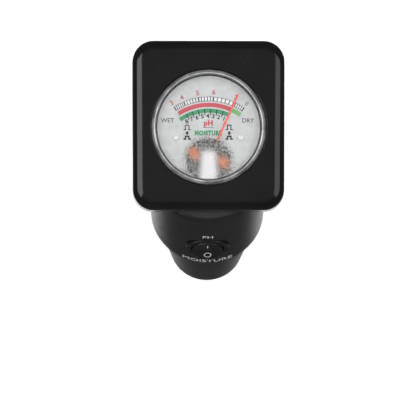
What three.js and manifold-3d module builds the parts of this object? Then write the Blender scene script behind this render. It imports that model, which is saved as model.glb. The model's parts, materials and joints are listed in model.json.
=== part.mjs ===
// Soil moisture and pH meter, built as an assembly of separate pieces. Millimetres, +Z up.
// The origin is on the body's axis, at the lower end of its plastic casing. The front is -Y.
import * as THREE from "three";
import { mergeVertices } from "three/addons/utils/BufferGeometryUtils.js";
import Module from "manifold-3d";

const wasm = await Module();
wasm.setup();

// ---- driving dimensions ----
const GAP = 0.3;              // clearance between pieces that touch

const RIM_Z = 41.5;           // lower rim of the cylindrical body
const TOP_Z = 87.5;           // flat top of the cylindrical body
const BODY_R = 23.5;
const BODY_WALL = 2.2;
const LOWER_TOP_R = 21.2;
const LOWER_END_R = 16.3;
const LOWER_WALL = 2;
const SPIGOT_R = 19.5;
const SPIGOT_LENGTH = 5.5;

const FACE_TILT = THREE.MathUtils.degToRad(24.6);
const FACE_Z = 118.8;         // centre of the head's face, on the body's axis
const FACE_W = 54;
const FACE_H = 60.3;
const FACE_FILLET = 3.4;
const FACE_CORNER_R = 7.5;
const HEAD_DEPTH = 20;
const HEAD_SPLIT = 12;        // depth of the parting line
const HEAD_FLARE = 1.1;
const HEAD_WALL = 2.4;
const FACE_THICKNESS = 2.6;
const NECK_R = 16;
const NECK_BORE_R = 12.5;
const NECK_SPIGOT_R = 14;
const SCREW_POST = { x: 21.8, y: 25, radius: 3.1 };

const DIAL_Y = -0.65;
const COVER_R = 20.3;
const COVER_WALL = 1.4;
const COVER_PROUD = 0.8;
const COVER_TOP = 1.2;
const COVER_FLANGE_R = 22.2;
const PLATE_R = 18.5;
const PLATE_TOP = -3.6;
const PLATE_THICKNESS = 0.5;
const PLATE_SCREW = { x: 11.6, y: 8.1 };
const BASE_SPLIT = -9.5;
const BASE_FLOOR = -13.4;
const BASE_THICKNESS = 1.6;
const STUD_X = 8.5;

const PIVOT_Y = DIAL_Y - 11.75;
const NEEDLE_ANGLE = THREE.MathUtils.degToRad(-24);
const NEEDLE_LENGTH = 26;
const NEEDLE_W = -3.05;
const NEEDLE_THICKNESS = 0.5;
const YOKE_R = 6.6;
const CORE_R = 3.6;
const COIL = { halfWidth: 4.7, side: 0.8, breadth: 2.2, top: -4.3, bottom: -10.3, bar: 0.7 };
const MOVEMENT_HOLE_R = 7.6;

const SWITCH_Z = 57.8;
const SWITCH_FLAT = 22;       // distance of the switch's flat seat from the body's axis
const SWITCH_HOLE_R = 7.6;
const SWITCH_BARREL_R = 7.3;
const SWITCH_FLANGE_R = 8.6;
const SWITCH_CAVITY_R = 6.6;
const ROCKER_R = 6.1;
const ROCKER_PIVOT = 21;
const ROCKER_TILT = THREE.MathUtils.degToRad(9);
const ROCKER_HEIGHT = 3.15;
const SEESAW_PIVOT = 15.2;
const SEESAW_TILT = THREE.MathUtils.degToRad(7);
const TERMINAL_PITCH = 4;

const BOARD = { halfWidth: 14, low: 52, high: 80, front: 3, thickness: 1.6 };
const BOARD_SCREW_Z = [55.5, 77];

const CARRIER_R = 11;
const ELECTRODE_TOP_R = 11;
const ELECTRODE_SPLITS = [-15, -18];
const ELECTRODE_SPLIT_R = [7.8, 6.8];
const TIP_Z = -34;
const TIE_ROD_R = 1.5;

// ---- materials ----
function finish(color, roughness, metalness = 0, opacity = 1) {
  return new THREE.MeshStandardMaterial({ color, roughness, metalness, opacity, transparent: opacity < 1 });
}
const casing = finish(0x101113, 0.22);
const bodyPlastic = finish(0x1a1b1d, 0.38);
const softBlack = finish(0x18181a, 0.8);
const switchBlack = finish(0x0d0d0e, 0.4);
const clear = finish(0xe6ecee, 0.05, 0, 0.35);
const plateSilver = finish(0xcbccca, 0.45, 0.2);
const needleRed = finish(0xfa5a5a, 0.5);
const copper = finish(0xc8703a, 0.4, 0.9);
const steel = finish(0xb8b9bb, 0.3, 1);
const darkIron = finish(0x3a3b3d, 0.5, 0.8);
const brass = finish(0xc8a04a, 0.3, 1);
const whitePlastic = finish(0xe2e2de, 0.5);
const boardGreen = finish(0x1f6b3c, 0.5);
const resistorTan = finish(0xc9a878, 0.6);
const leadRed = finish(0xa02820, 0.6);
const leadBlack = finish(0x202022, 0.6);

// ---- solids ----
function solidFrom(geometry) {
  const bare = geometry.index ? geometry.toNonIndexed() : geometry.clone();
  bare.deleteAttribute("normal");
  bare.deleteAttribute("uv");
  const merged = mergeVertices(bare, 1e-4);
  const index = merged.index.array;
  const triangles = [];
  for (let i = 0; i < index.length; i += 3) {
    const [a, b, c] = [index[i], index[i + 1], index[i + 2]];
    if (a !== b && b !== c && c !== a) triangles.push(a, b, c);
  }
  if (signedVolume(merged.attributes.position.array, triangles) < 0) {
    for (let i = 0; i < triangles.length; i += 3) {
      [triangles[i + 1], triangles[i + 2]] = [triangles[i + 2], triangles[i + 1]];
    }
  }
  return new wasm.Manifold(new wasm.Mesh({
    numProp: 3,
    vertProperties: new Float32Array(merged.attributes.position.array),
    triVerts: new Uint32Array(triangles),
  }));
}

function signedVolume(points, triangles) {
  const corner = (i) => new THREE.Vector3().fromArray(points, 3 * triangles[i]);
  let volume = 0;
  for (let i = 0; i < triangles.length; i += 3) {
    volume += corner(i).dot(corner(i + 1).cross(corner(i + 2)));
  }
  return volume;
}

function geometryOf(solid) {
  const { vertProperties, triVerts } = solid.getMesh();
  const geometry = new THREE.BufferGeometry();
  geometry.setAttribute("position", new THREE.BufferAttribute(new Float32Array(vertProperties), 3));
  geometry.setIndex(new THREE.BufferAttribute(new Uint32Array(triVerts), 1));
  const flat = geometry.toNonIndexed();
  flat.computeVertexNormals();
  return flat;
}

// A solid of revolution about Z; the profile is a closed loop of [radius, height] points.
function turned(profile, segments = 24) {
  const loop = [...profile, profile[0]].map(([r, z]) => new THREE.Vector2(r, z));
  return solidFrom(new THREE.LatheGeometry(loop, segments).rotateX(Math.PI / 2));
}

function disc(radius, low, high, segments = 24) {
  return turned([[0, low], [radius, low], [radius, high], [0, high]], segments);
}

function ring(inner, outer, low, high, segments = 32) {
  return turned([[inner, low], [outer, low], [outer, high], [inner, high]], segments);
}

function block(x0, x1, y0, y1, z0, z1) {
  const box = new THREE.BoxGeometry(x1 - x0, y1 - y0, z1 - z0);
  return solidFrom(box.translate((x0 + x1) / 2, (y0 + y1) / 2, (z0 + z1) / 2));
}

function prism(shape, low, high, curveSegments = 4) {
  const options = { depth: high - low, bevelEnabled: false, curveSegments };
  return solidFrom(new THREE.ExtrudeGeometry(shape, options).translate(0, 0, low));
}

function roundedRectangle(width, height, radius) {
  const [x, y] = [width / 2, height / 2];
  const shape = new THREE.Shape();
  shape.absarc(x - radius, y - radius, radius, 0, Math.PI / 2);
  shape.absarc(radius - x, y - radius, radius, Math.PI / 2, Math.PI);
  shape.absarc(radius - x, radius - y, radius, Math.PI, 1.5 * Math.PI);
  shape.absarc(x - radius, radius - y, radius, 1.5 * Math.PI, 2 * Math.PI);
  return shape;
}

// Points of a quarter circle for a turned profile, about centre, from one angle to another.
function arc([cx, cy], radius, from, to, steps = 4) {
  return Array.from({ length: steps + 1 }, (_, i) => {
    const angle = THREE.MathUtils.degToRad(from + ((to - from) * i) / steps);
    return [cx + radius * Math.cos(angle), cy + radius * Math.sin(angle)];
  });
}

// A round wire along a smooth curve through the points.
function wire(points, radius, steps, sides = 6) {
  const path = new THREE.CatmullRomCurve3(points.map((p) => new THREE.Vector3(...p)));
  const section = new THREE.Shape();
  for (let i = 0; i < sides; i++) {
    const angle = (2 * Math.PI * i) / sides;
    const point = [radius * Math.cos(angle), radius * Math.sin(angle)];
    if (i === 0) section.moveTo(...point);
    else section.lineTo(...point);
  }
  return solidFrom(new THREE.ExtrudeGeometry(section, { steps, extrudePath: path }));
}

// A slotted or plain screw standing on z = 0, its head above and its shank below.
function screw(headR, headHeight, shankR, shankLength) {
  const body = turned([
    [0, -shankLength], [shankR, -shankLength], [shankR, 0], [headR, 0],
    [headR, headHeight * 0.6], [headR * 0.75, headHeight], [0, headHeight],
  ], 12);
  const slot = headR * 0.18;
  return body.subtract(block(-headR, headR, -slot, slot, headHeight * 0.5, headHeight + 1));
}

function place(parent, name, solid, material, position = [0, 0, 0]) {
  const mesh = new THREE.Mesh(geometryOf(solid), material);
  mesh.name = name;
  mesh.position.set(...position);
  parent.add(mesh);
}

// ---- head casing ----
// In the head's own frame: X right, Y up the face, Z out of it, origin at the face's centre.
function headBlock() {
  const shape = roundedRectangle(
    FACE_W - 2 * FACE_FILLET, FACE_H - 2 * FACE_FILLET, FACE_CORNER_R - FACE_FILLET);
  const geometry = new THREE.ExtrudeGeometry(shape, {
    depth: HEAD_DEPTH - 2 * FACE_FILLET,
    bevelThickness: FACE_FILLET,
    bevelSize: FACE_FILLET,
    bevelSegments: 3,
    curveSegments: 5,
  }).translate(0, 0, FACE_FILLET - HEAD_DEPTH);
  const position = geometry.attributes.position;
  const full = HEAD_DEPTH - FACE_FILLET;
  for (let i = 0; i < position.count; i++) {
    const flare = HEAD_FLARE * Math.min(1, -position.getZ(i) / full);
    position.setX(i, position.getX(i) + Math.sign(position.getX(i)) * flare);
    position.setY(i, position.getY(i) + Math.sign(position.getY(i)) * flare);
  }
  return solidFrom(geometry);
}

function headShell() {
  const hollow = roundedRectangle(FACE_W - 2 * HEAD_WALL, FACE_H - 2 * HEAD_WALL, 5);
  return headBlock().subtract(prism(hollow, HEAD_WALL - HEAD_DEPTH, -FACE_THICKNESS));
}

function slab(low, high) {
  return block(-60, 60, -60, 60, low, high);
}

function clampPosts() {
  return [FACE_H / 2 - 5.1, 4.6 - FACE_H / 2].map((y) => [0, y]);
}

function headFront() {
  let solid = headShell().intersect(slab(-HEAD_SPLIT, 1));
  for (const x of [-SCREW_POST.x, SCREW_POST.x]) {
    const post = disc(SCREW_POST.radius, -HEAD_SPLIT, -FACE_THICKNESS + 0.5, 16);
    const pilot = disc(1.4, -HEAD_SPLIT - 1, -5, 12);
    solid = solid.add(post.translate(x, SCREW_POST.y, 0));
    solid = solid.subtract(pilot.translate(x, SCREW_POST.y, 0));
  }
  for (const [x, y] of clampPosts()) {
    const post = disc(2, BASE_FLOOR - 1.3, -FACE_THICKNESS + 0.5, 16);
    const pilot = disc(1.1, BASE_FLOOR - 3, -6, 12);
    solid = solid.add(post.translate(x, y, 0)).subtract(pilot.translate(x, y, 0));
  }
  return solid.subtract(disc(COVER_R + GAP, -10, 5, 36).translate(0, DIAL_Y, 0));
}

function gasketRing(inset, width, low, high) {
  const outline = (d) => roundedRectangle(FACE_W - 2 * d, FACE_H - 2 * d, FACE_CORNER_R - d);
  return prism(outline(inset), low, high).subtract(prism(outline(inset + width), low - 1, high + 1));
}

function headBackCasing() {
  const split = -HEAD_SPLIT - GAP;
  let solid = headShell().intersect(slab(-HEAD_DEPTH - 1, split));
  for (const x of [-SCREW_POST.x, SCREW_POST.x]) {
    const post = disc(SCREW_POST.radius, HEAD_WALL / 2 - HEAD_DEPTH, split, 16);
    const hole = disc(1.5, -HEAD_DEPTH - 1, split + 1, 12);
    const counterbore = disc(2.6, -HEAD_DEPTH - 1, -HEAD_DEPTH + 2.2, 16);
    solid = solid.add(post.translate(x, SCREW_POST.y, 0));
    solid = solid.subtract(hole.add(counterbore).translate(x, SCREW_POST.y, 0));
  }
  const inner = HEAD_WALL - FACE_H / 2;
  for (const x of [-11, 11]) {
    solid = solid.add(block(x - 3, x + 3, inner - 0.8, inner + 1.6, split - 2.5, split));
    solid = solid.add(block(x - 3, x + 3, inner + GAP, inner + 1.6, split - 1, split + 3));
  }
  return solid.subtract(gasketRing(0.9, 1, split - 1.1, split + 1));
}

// The head's frame as a matrix, for pieces joined from both frames.
const headMatrix = new THREE.Matrix4()
  .makeRotationX(FACE_TILT)
  .setPosition(0, 0, FACE_Z);

function inBodyFrame(solid) {
  return solid.transform([...headMatrix.elements]);
}

function headBack() {
  const behind = inBodyFrame(slab(-60, -HEAD_DEPTH + HEAD_WALL / 2));
  const neck = disc(NECK_R, TOP_Z + GAP, FACE_Z, 32).intersect(behind);
  const spigot = disc(NECK_SPIGOT_R, TOP_Z - 3.5, TOP_Z + 2, 24);
  const bore = disc(NECK_BORE_R, TOP_Z - 5, FACE_Z, 24).intersect(inBodyFrame(slab(-60, -HEAD_SPLIT)));
  return inBodyFrame(headBackCasing()).add(neck).add(spigot).subtract(bore);
}

function buildHeadCasing(head, body) {
  place(head, "head_front", headFront(), casing);
  place(body, "head_back", headBack(), casing);
  place(head, "head_gasket", gasketRing(1.2, 0.4, -HEAD_SPLIT - 1.1, -HEAD_SPLIT - GAP), softBlack);
  const headScrew = screw(2.1, 1.4, 1, 12.2).rotate([180, 0, 0]);
  for (const [side, x] of [["left", -SCREW_POST.x], ["right", SCREW_POST.x]]) {
    place(head, `head_screw_${side}`, headScrew, steel, [x, SCREW_POST.y, 1.9 - HEAD_DEPTH]);
  }
}

// ---- meter ----
function meterCover() {
  const inner = COVER_R - COVER_WALL;
  return turned([
    [0, COVER_PROUD - COVER_TOP], [inner, COVER_PROUD - COVER_TOP], [inner, BASE_SPLIT],
    [COVER_R, BASE_SPLIT], [COVER_R, -4.4], [COVER_FLANGE_R, -4.4], [COVER_FLANGE_R, -2.9],
    [COVER_R, -2.9], [COVER_R, COVER_PROUD - 0.5], [COVER_R - 0.5, COVER_PROUD], [0, COVER_PROUD],
  ], 36);
}

function meterBase() {
  const inner = COVER_R - COVER_WALL;
  let solid = turned([
    [0, BASE_FLOOR - BASE_THICKNESS], [COVER_R, BASE_FLOOR - BASE_THICKNESS],
    [COVER_R, BASE_SPLIT - GAP], [inner, BASE_SPLIT - GAP], [inner, BASE_FLOOR], [0, BASE_FLOOR],
  ], 36);
  for (const x of [-PLATE_SCREW.x, PLATE_SCREW.x]) {
    const y = PIVOT_Y + PLATE_SCREW.y - DIAL_Y;
    const post = disc(1.8, BASE_FLOOR - 0.5, PLATE_TOP - PLATE_THICKNESS - GAP, 12);
    solid = solid.add(post.translate(x, y, 0));
    solid = solid.subtract(disc(0.9, -7.5, 0, 10).translate(x, y, 0));
  }
  for (const x of [-STUD_X, STUD_X]) {
    solid = solid.subtract(disc(1.1, -20, 0, 12).translate(x, 0, 0));
  }
  return solid;
}

function scalePlate() {
  const opening = disc(MOVEMENT_HOLE_R, -10, 0, 32).translate(0, PIVOT_Y - DIAL_Y, 0);
  let plate = disc(PLATE_R, PLATE_TOP - PLATE_THICKNESS, PLATE_TOP, 36).subtract(opening);
  for (const x of [-PLATE_SCREW.x, PLATE_SCREW.x]) {
    const hole = disc(0.9, -10, 0, 10);
    plate = plate.subtract(hole.translate(x, PIVOT_Y + PLATE_SCREW.y - DIAL_Y, 0));
  }
  return plate;
}

function clampStrap() {
  const outline = roundedRectangle(8, FACE_H - 6, 2);
  const top = BASE_FLOOR - BASE_THICKNESS - GAP;
  let strap = prism(outline, top - 1, top, 3);
  for (const [x, y] of clampPosts()) {
    strap = strap.subtract(disc(1.2, top - 3, top + 1, 12).translate(x, y, 0));
  }
  return strap;
}

function buildMeterCase(head) {
  const centre = [0, DIAL_Y, 0];
  place(head, "meter_cover", meterCover(), clear, centre);
  place(head, "meter_base", meterBase(), softBlack, centre);
  place(head, "scale_plate", scalePlate(), plateSilver, centre);
  place(head, "clamp_strap", clampStrap(), steel);
  const plateScrew = screw(1.2, 0.7, 0.6, 3.4);
  const stud = disc(0.8, -17.2, BASE_FLOOR + 0.6, 12);
  const nut = ring(1.1, 2, 0, 1.3, 6);
  for (const [side, sign] of [["left", -1], ["right", 1]]) {
    const screwY = PIVOT_Y + PLATE_SCREW.y;
    place(head, `scale_screw_${side}`, plateScrew, steel, [sign * PLATE_SCREW.x, screwY, PLATE_TOP + GAP]);
    place(head, `meter_stud_${side}`, stud, brass, [sign * STUD_X, DIAL_Y, 0]);
    place(head, `meter_nut_${side}`, nut, brass,
      [sign * STUD_X, DIAL_Y, BASE_FLOOR - BASE_THICKNESS - GAP - 1.3]);
  }
  const strapScrew = screw(1.8, 0.7, 0.8, 6).rotate([180, 0, 0]);
  clampPosts().forEach(([x, y], i) => {
    const z = BASE_FLOOR - BASE_THICKNESS - 2 * GAP - 1;
    place(head, `clamp_screw_${i + 1}`, strapScrew, steel, [x, y, z]);
  });
}

// ---- movement, about its pivot ----
function yoke() {
  let solid = ring(YOKE_R - 1.4, YOKE_R, -10, -4.6, 32);
  for (const sign of [-1, 1]) {
    const near = CORE_R + GAP;
    const far = YOKE_R - 0.8;
    const [low, high] = sign > 0 ? [near, far] : [-far, -near];
    solid = solid.add(block(-1, 1, low, high, -8.5, -6));
  }
  return solid;
}

function upperBridge() {
  const strip = block(-2.9, 2.9, -6.4, 3.2, -1.5, -0.9);
  const leg = block(-2.9, 2.9, -6.4, -5.7, -4.3, -1);
  return strip.add(leg).subtract(disc(1.1, -5, 0, 12));
}

function lowerBridge() {
  let solid = block(-6.4, 6.4, -1.5, 1.5, -12.5, -11.9);
  for (const [low, high] of [[-6.4, -5.6], [5.6, 6.4]]) {
    solid = solid.add(block(low, high, -1.5, 1.5, -13.1, -10.3));
  }
  return solid.subtract(disc(1.1, -15, -10, 12));
}

function movingCoil() {
  const { halfWidth, side, breadth, top, bottom, bar } = COIL;
  const outer = block(-halfWidth, halfWidth, -breadth / 2, breadth / 2, bottom, top);
  return outer.subtract(
    block(side - halfWidth, halfWidth - side, -breadth, breadth, bottom + bar, top - bar));
}

function needle() {
  const shape = new THREE.Shape();
  shape.moveTo(-0.6, 0);
  shape.lineTo(-0.3, NEEDLE_LENGTH);
  shape.lineTo(0.3, NEEDLE_LENGTH);
  shape.lineTo(0.6, 0);
  const high = NEEDLE_W + NEEDLE_THICKNESS;
  return prism(shape, NEEDLE_W, high)
    .add(disc(1.5, NEEDLE_W, high, 16))
    .add(block(-0.45, 0.45, -4, 0, NEEDLE_W, high))
    .subtract(disc(0.65, -5, 0, 12));
}

function balanceWeight() {
  return block(-1, 1, -4.8, -3.2, NEEDLE_W - 0.8, NEEDLE_W - GAP);
}

// A flat spiral ribbon, wound from the inner radius to the outer one.
function hairspring(low, high) {
  const [inner, outer, turns, steps, ribbon] = [0.9, 2.9, 2.5, 30, 0.24];
  const shape = new THREE.Shape();
  const point = (i, offset) => {
    const angle = (2 * Math.PI * turns * i) / steps;
    const radius = inner + ((outer - inner) * i) / steps + offset;
    return [radius * Math.cos(angle), radius * Math.sin(angle)];
  };
  shape.moveTo(...point(0, 0));
  for (let i = 1; i <= steps; i++) shape.lineTo(...point(i, 0));
  for (let i = steps; i >= 0; i--) shape.lineTo(...point(i, -ribbon));
  return prism(shape, low, high);
}

function staff(low, high) {
  const tip = 0.5;
  const up = Math.abs(high) < Math.abs(COIL.top);
  const ends = up
    ? [[0, low], [0.35, low], [0.35, high - tip], [0, high]]
    : [[0, low], [0.35, low + tip], [0.35, high], [0, high]];
  return turned(ends, 10);
}

function buildMovement(head) {
  const movement = new THREE.Group();
  movement.position.set(0, PIVOT_Y, 0);
  head.add(movement);
  place(movement, "meter_yoke", yoke(), darkIron);
  place(movement, "meter_core", disc(CORE_R, -9.3, -5.3, 32), steel);
  place(movement, "upper_bridge", upperBridge(), whitePlastic);
  place(movement, "lower_bridge", lowerBridge(), whitePlastic);
  place(movement, "jewel_upper", disc(0.8, -2.1, -0.7, 12), brass);
  place(movement, "jewel_lower", disc(0.8, -12.9, -11.4, 12), brass);
  place(movement, "hairspring_upper", hairspring(-3.95, -3.6), copper);
  place(movement, "hairspring_lower", hairspring(-11, -10.6), copper);

  const moving = new THREE.Group();
  moving.rotation.z = NEEDLE_ANGLE;
  movement.add(moving);
  place(moving, "pointer", needle(), needleRed);
  place(moving, "balance_weight", balanceWeight(), brass);
  place(moving, "moving_coil", movingCoil(), copper);
  place(moving, "staff_upper", staff(COIL.top + 0.05, -2.4), steel);
  place(moving, "staff_lower", staff(-11.1, COIL.bottom - 0.05), steel);
}

// ---- body shells ----
function upperBody() {
  const inner = BODY_R - BODY_WALL;
  const shell = turned([
    [SPIGOT_R + 0.5, RIM_Z], ...arc([BODY_R - 0.6, RIM_Z + 0.6], 0.6, -90, 0, 2),
    ...arc([BODY_R - 0.9, TOP_Z - 0.9], 0.9, 0, 90, 2),
    [NECK_SPIGOT_R + GAP, TOP_Z], [NECK_SPIGOT_R + GAP, TOP_Z - 2.5], [inner, TOP_Z - 2.5],
    [inner, RIM_Z + 7], [SPIGOT_R + 0.5, RIM_Z + 7],
  ], 40);
  const pad = block(-10, 10, -BODY_R + 2, -19.5, SWITCH_Z - 10, SWITCH_Z + 10)
    .intersect(disc(BODY_R - 0.5, 0, TOP_Z, 40));
  let solid = shell.add(pad);
  for (const z of BOARD_SCREW_Z) {
    const near = BOARD.front + BOARD.thickness + GAP;
    const post = disc(2.4, near, inner + 0.5, 16).subtract(disc(1.3, near - 1, near + 6, 12));
    solid = solid.add(post.rotate([-90, 0, 0]).translate(0, 0, z));
  }
  const seat = disc(SWITCH_FLANGE_R + GAP, SWITCH_FLAT, BODY_R + 5, 28);
  const hole = disc(SWITCH_HOLE_R, 15, BODY_R, 24);
  return solid.subtract(seat.add(hole).rotate([90, 0, 0]).translate(0, 0, SWITCH_Z));
}

function lowerBody() {
  const top = RIM_Z - GAP;
  const spigotTop = top + SPIGOT_LENGTH;
  return turned([
    [CARRIER_R + GAP, 0], ...arc([LOWER_END_R - 1.5, 1.5], 1.5, -90, -7, 3),
    [LOWER_TOP_R, top], [SPIGOT_R, top], [SPIGOT_R, top + 1.4], [SPIGOT_R - 1.4, top + 1.4],
    [SPIGOT_R - 1.4, top + 3], [SPIGOT_R, top + 3], [SPIGOT_R, spigotTop],
    [SPIGOT_R - 2.1, spigotTop], [SPIGOT_R - 2.1, top], [LOWER_END_R - LOWER_WALL, LOWER_WALL],
    [CARRIER_R + GAP, LOWER_WALL],
  ], 40);
}

function buildBody(body) {
  place(body, "upper_body", upperBody(), bodyPlastic);
  place(body, "lower_body", lowerBody(), bodyPlastic);
  const seal = turned(arc([SPIGOT_R - 0.5, RIM_Z + 1.9], 0.55, 0, 300, 5), 28);
  place(body, "body_seal", seal, softBlack);
}

// ---- switch: X right, Y up, Z out of the body, origin on the body's axis ----
function switchHousing() {
  const flange = disc(SWITCH_FLANGE_R, SWITCH_FLAT + GAP, BODY_R, 28);
  const barrel = disc(SWITCH_BARREL_R, 10.3, SWITCH_FLAT + GAP + 0.2, 24);
  let solid = flange.add(barrel).subtract(disc(SWITCH_CAVITY_R, 12, BODY_R + 1, 24));
  for (const [low, high] of [[-8.4, -7], [7, 8.4]]) {
    solid = solid.add(block(low, high, -2, 2, 16.5, 19));
  }
  for (const y of [-TERMINAL_PITCH, 0, TERMINAL_PITCH]) {
    solid = solid.subtract(block(-1.8, 1.8, y - 0.65, y + 0.65, 5, 13));
  }
  const bearing = disc(0.9, -7, 7, 12).rotate([0, 90, 0]).translate(0, 0, ROCKER_PIVOT);
  return solid.subtract(bearing);
}

// The rocker, upright about its pivot; its two halves rise away from the middle.
function rocker() {
  const rise = ROCKER_R * Math.tan(ROCKER_TILT);
  const section = new THREE.Shape();
  section.moveTo(-ROCKER_R, -0.8);
  section.lineTo(ROCKER_R, -0.8);
  section.lineTo(ROCKER_R, ROCKER_HEIGHT + rise);
  section.lineTo(0, ROCKER_HEIGHT);
  section.lineTo(-ROCKER_R, ROCKER_HEIGHT + rise);
  const wedge = prism(section, -8, 8).rotate([0, 90, 0]).rotate([90, 0, 0]);
  const stem = block(-1.7, 1.7, -1.7, 1.7, -3.2, -0.5);
  const pins = disc(0.6, -6.9, 6.9, 12).rotate([0, 90, 0]);
  const bore = disc(0.9, -4, 0, 12);
  return disc(ROCKER_R, -5, 8, 24).intersect(wedge).add(stem).add(pins).subtract(bore);
}

function rockerSpring() {
  const turns = 3;
  const steps = 24;
  const points = Array.from({ length: steps + 1 }, (_, i) => {
    const angle = (2 * Math.PI * turns * i) / steps;
    return [0.45 * Math.cos(angle), 0.45 * Math.sin(angle), -2.2 + (1.85 * i) / steps];
  });
  return wire(points, 0.12, 27, 4);
}

function terminal(top) {
  return block(-1.4, 1.4, -0.3, 0.3, 3.5, top).subtract(disc(0.6, -1, 1, 8).rotate([90, 0, 0])
    .translate(0, 0, 5.2));
}

function buildSwitch(body) {
  const unit = new THREE.Group();
  unit.rotation.x = Math.PI / 2;
  unit.position.z = SWITCH_Z;
  body.add(unit);
  place(unit, "switch_housing", switchHousing(), switchBlack);

  const tilting = new THREE.Group();
  tilting.position.z = ROCKER_PIVOT;
  tilting.rotation.x = -ROCKER_TILT;
  unit.add(tilting);
  place(tilting, "switch_rocker", rocker(), switchBlack);
  const plunger = turned([[0, -5], [0.35, -4.85], [0.6, -4.5], [0.6, -2.5], [0, -2.5]], 12);
  place(tilting, "rocker_plunger", plunger, brass);
  place(tilting, "rocker_spring", rockerSpring(), steel);

  const seesaw = new THREE.Group();
  seesaw.position.z = SEESAW_PIVOT;
  seesaw.rotation.x = SEESAW_TILT;
  unit.add(seesaw);
  place(seesaw, "switch_seesaw", block(-1.5, 1.5, -4.3, 4.3, 0, 0.5), brass);

  const dip = TERMINAL_PITCH * Math.sin(SEESAW_TILT);
  const names = ["low", "middle", "high"];
  names.forEach((name, i) => {
    const y = (i - 1) * TERMINAL_PITCH;
    const top = SEESAW_PIVOT - GAP - (i === 1 ? 0 : dip + 0.05);
    place(unit, `switch_terminal_${name}`, terminal(top), brass, [0, y, 0]);
  });
}

// ---- circuit board ----
function circuitBoard() {
  const { halfWidth, low, high, front, thickness } = BOARD;
  let board = block(-halfWidth, halfWidth, front, front + thickness, low, high);
  for (const z of BOARD_SCREW_Z) {
    board = board.subtract(disc(1.4, -10, 0, 12).rotate([90, 0, 0]).translate(0, 0, z));
  }
  return board;
}

function resistor() {
  const half = 3;
  const body = turned([
    [0, -half], [0.9, -half], [1.1, -half + 0.4], [1.1, 1 - half], [0.9, 1.3 - half],
    [0.9, half - 1.3], [1.1, half - 1], [1.1, half - 0.4], [0.9, half], [0, half],
  ], 12);
  const legs = block(-0.3, 0.3, -0.3, 0.3, -5, 5)
    .add(block(-0.3, 0.3, -0.3, 1.1, 4.4, 5))
    .add(block(-0.3, 0.3, -0.3, 1.1, -5, -4.4));
  return body.add(legs);
}

function trimmer() {
  const rotor = disc(2.2, -4.4, -3, 16).subtract(block(-1.8, 1.8, -0.3, 0.3, -5, -4));
  return block(-3.2, 3.2, -3.2, 3.2, -3.2, 0).add(rotor).rotate([-90, 0, 0]);
}

function buildBoard(body) {
  const { front } = BOARD;
  place(body, "circuit_board", circuitBoard(), boardGreen);
  place(body, "trimmer", trimmer(), whitePlastic, [8, front - GAP, 70]);
  place(body, "resistor_1", resistor(), resistorTan, [-6, front - GAP - 1.1, 70]);
  place(body, "resistor_2", resistor(), resistorTan, [-10, front - GAP - 1.1, 70]);
  const boardScrew = screw(2, 1.2, 0.9, 7).rotate([90, 0, 0]);
  BOARD_SCREW_Z.forEach((z, i) => {
    place(body, `board_screw_${i + 1}`, boardScrew, steel, [0, front - GAP, z]);
  });
}

// ---- electrodes ----
function carrier() {
  const solid = turned([
    [TIE_ROD_R + GAP, 0], [CARRIER_R, 0], [CARRIER_R, LOWER_WALL + GAP],
    [13, LOWER_WALL + GAP], [13, 5], [4, 5], [4, 8], [TIE_ROD_R + GAP, 8],
  ], 28);
  return solid.subtract(disc(1, -1, 9, 10).translate(-8, 0, 0));
}

function buildElectrodes(body) {
  const [upperEnd, tipStart] = ELECTRODE_SPLITS;
  const [upperEndR, tipStartR] = ELECTRODE_SPLIT_R;
  const bore = TIE_ROD_R + GAP;
  place(body, "electrode_carrier", carrier(), softBlack);
  place(body, "electrode_upper", turned([
    [bore, upperEnd], [upperEndR, upperEnd], [ELECTRODE_TOP_R, -1.8], [ELECTRODE_TOP_R, -GAP],
    [bore, -GAP],
  ], 28), steel);
  place(body, "electrode_insulator", turned([
    [bore, tipStart], [tipStartR, tipStart], [upperEndR - 0.1, upperEnd - GAP],
    [bore, upperEnd - GAP],
  ], 28), softBlack);
  place(body, "electrode_tip", turned([
    [0, TIP_Z], ...arc([0, TIP_Z + 1.2], 1.2, -90, -20, 3).slice(1),
    [tipStartR - 0.1, tipStart - GAP], [bore, tipStart - GAP], [bore, -28], [0, -28],
  ], 28), brass);
  place(body, "tie_rod", disc(TIE_ROD_R, -27.7, 13.5, 16), brass);
  place(body, "tie_washer", ring(TIE_ROD_R + GAP, 3.4, 8.3, 9, 20), steel);
  place(body, "solder_lug", solderLug(), brass);
  place(body, "tie_nut", ring(TIE_ROD_R + GAP, 3.1, 10.2, 12.4, 6), brass);
  place(body, "contact_pin", disc(0.7, 0, 9.5, 12), brass, [-8, 0, 0]);
}

function solderLug() {
  return disc(3, 9.3, 9.9, 20)
    .add(block(0, 7, -1.1, 1.1, 9.3, 9.9))
    .subtract(disc(TIE_ROD_R + GAP, 8, 11, 16))
    .subtract(disc(0.6, 8, 11, 8).translate(5.9, 0, 0));
}

// ---- internal leads, each along its own route ----
function buildLeads(body) {
  const routes = {
    lead_tip: [[6, 0, 10.4], [6.2, 1, 20], [7, 3, 36], [8, 3.8, 51.4]],
    lead_upper: [[-8, 0, 10], [-8.2, 1, 20], [-8, 3, 36], [-8, 3.8, 51.4]],
    lead_meter_left: [[-8.5, 3.8, 80.6], [-8.4, 4.2, 87], [-8.4, 5.6, 95], [-8.5, 6.3, 101.9]],
    lead_meter_right: [[8.5, 3.8, 80.6], [8.4, 4.2, 87], [8.4, 5.6, 95], [8.5, 6.3, 101.9]],
  };
  for (const [name, points] of Object.entries(routes)) {
    const material = name.endsWith("upper") || name.endsWith("left") ? leadBlack : leadRed;
    place(body, name, wire(points, 0.55, 10, 6), material);
  }
}

// ---- assembly ----
const group = new THREE.Group();
const head = new THREE.Group();
head.position.z = FACE_Z;
head.rotation.x = FACE_TILT;
group.add(head);

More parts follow.
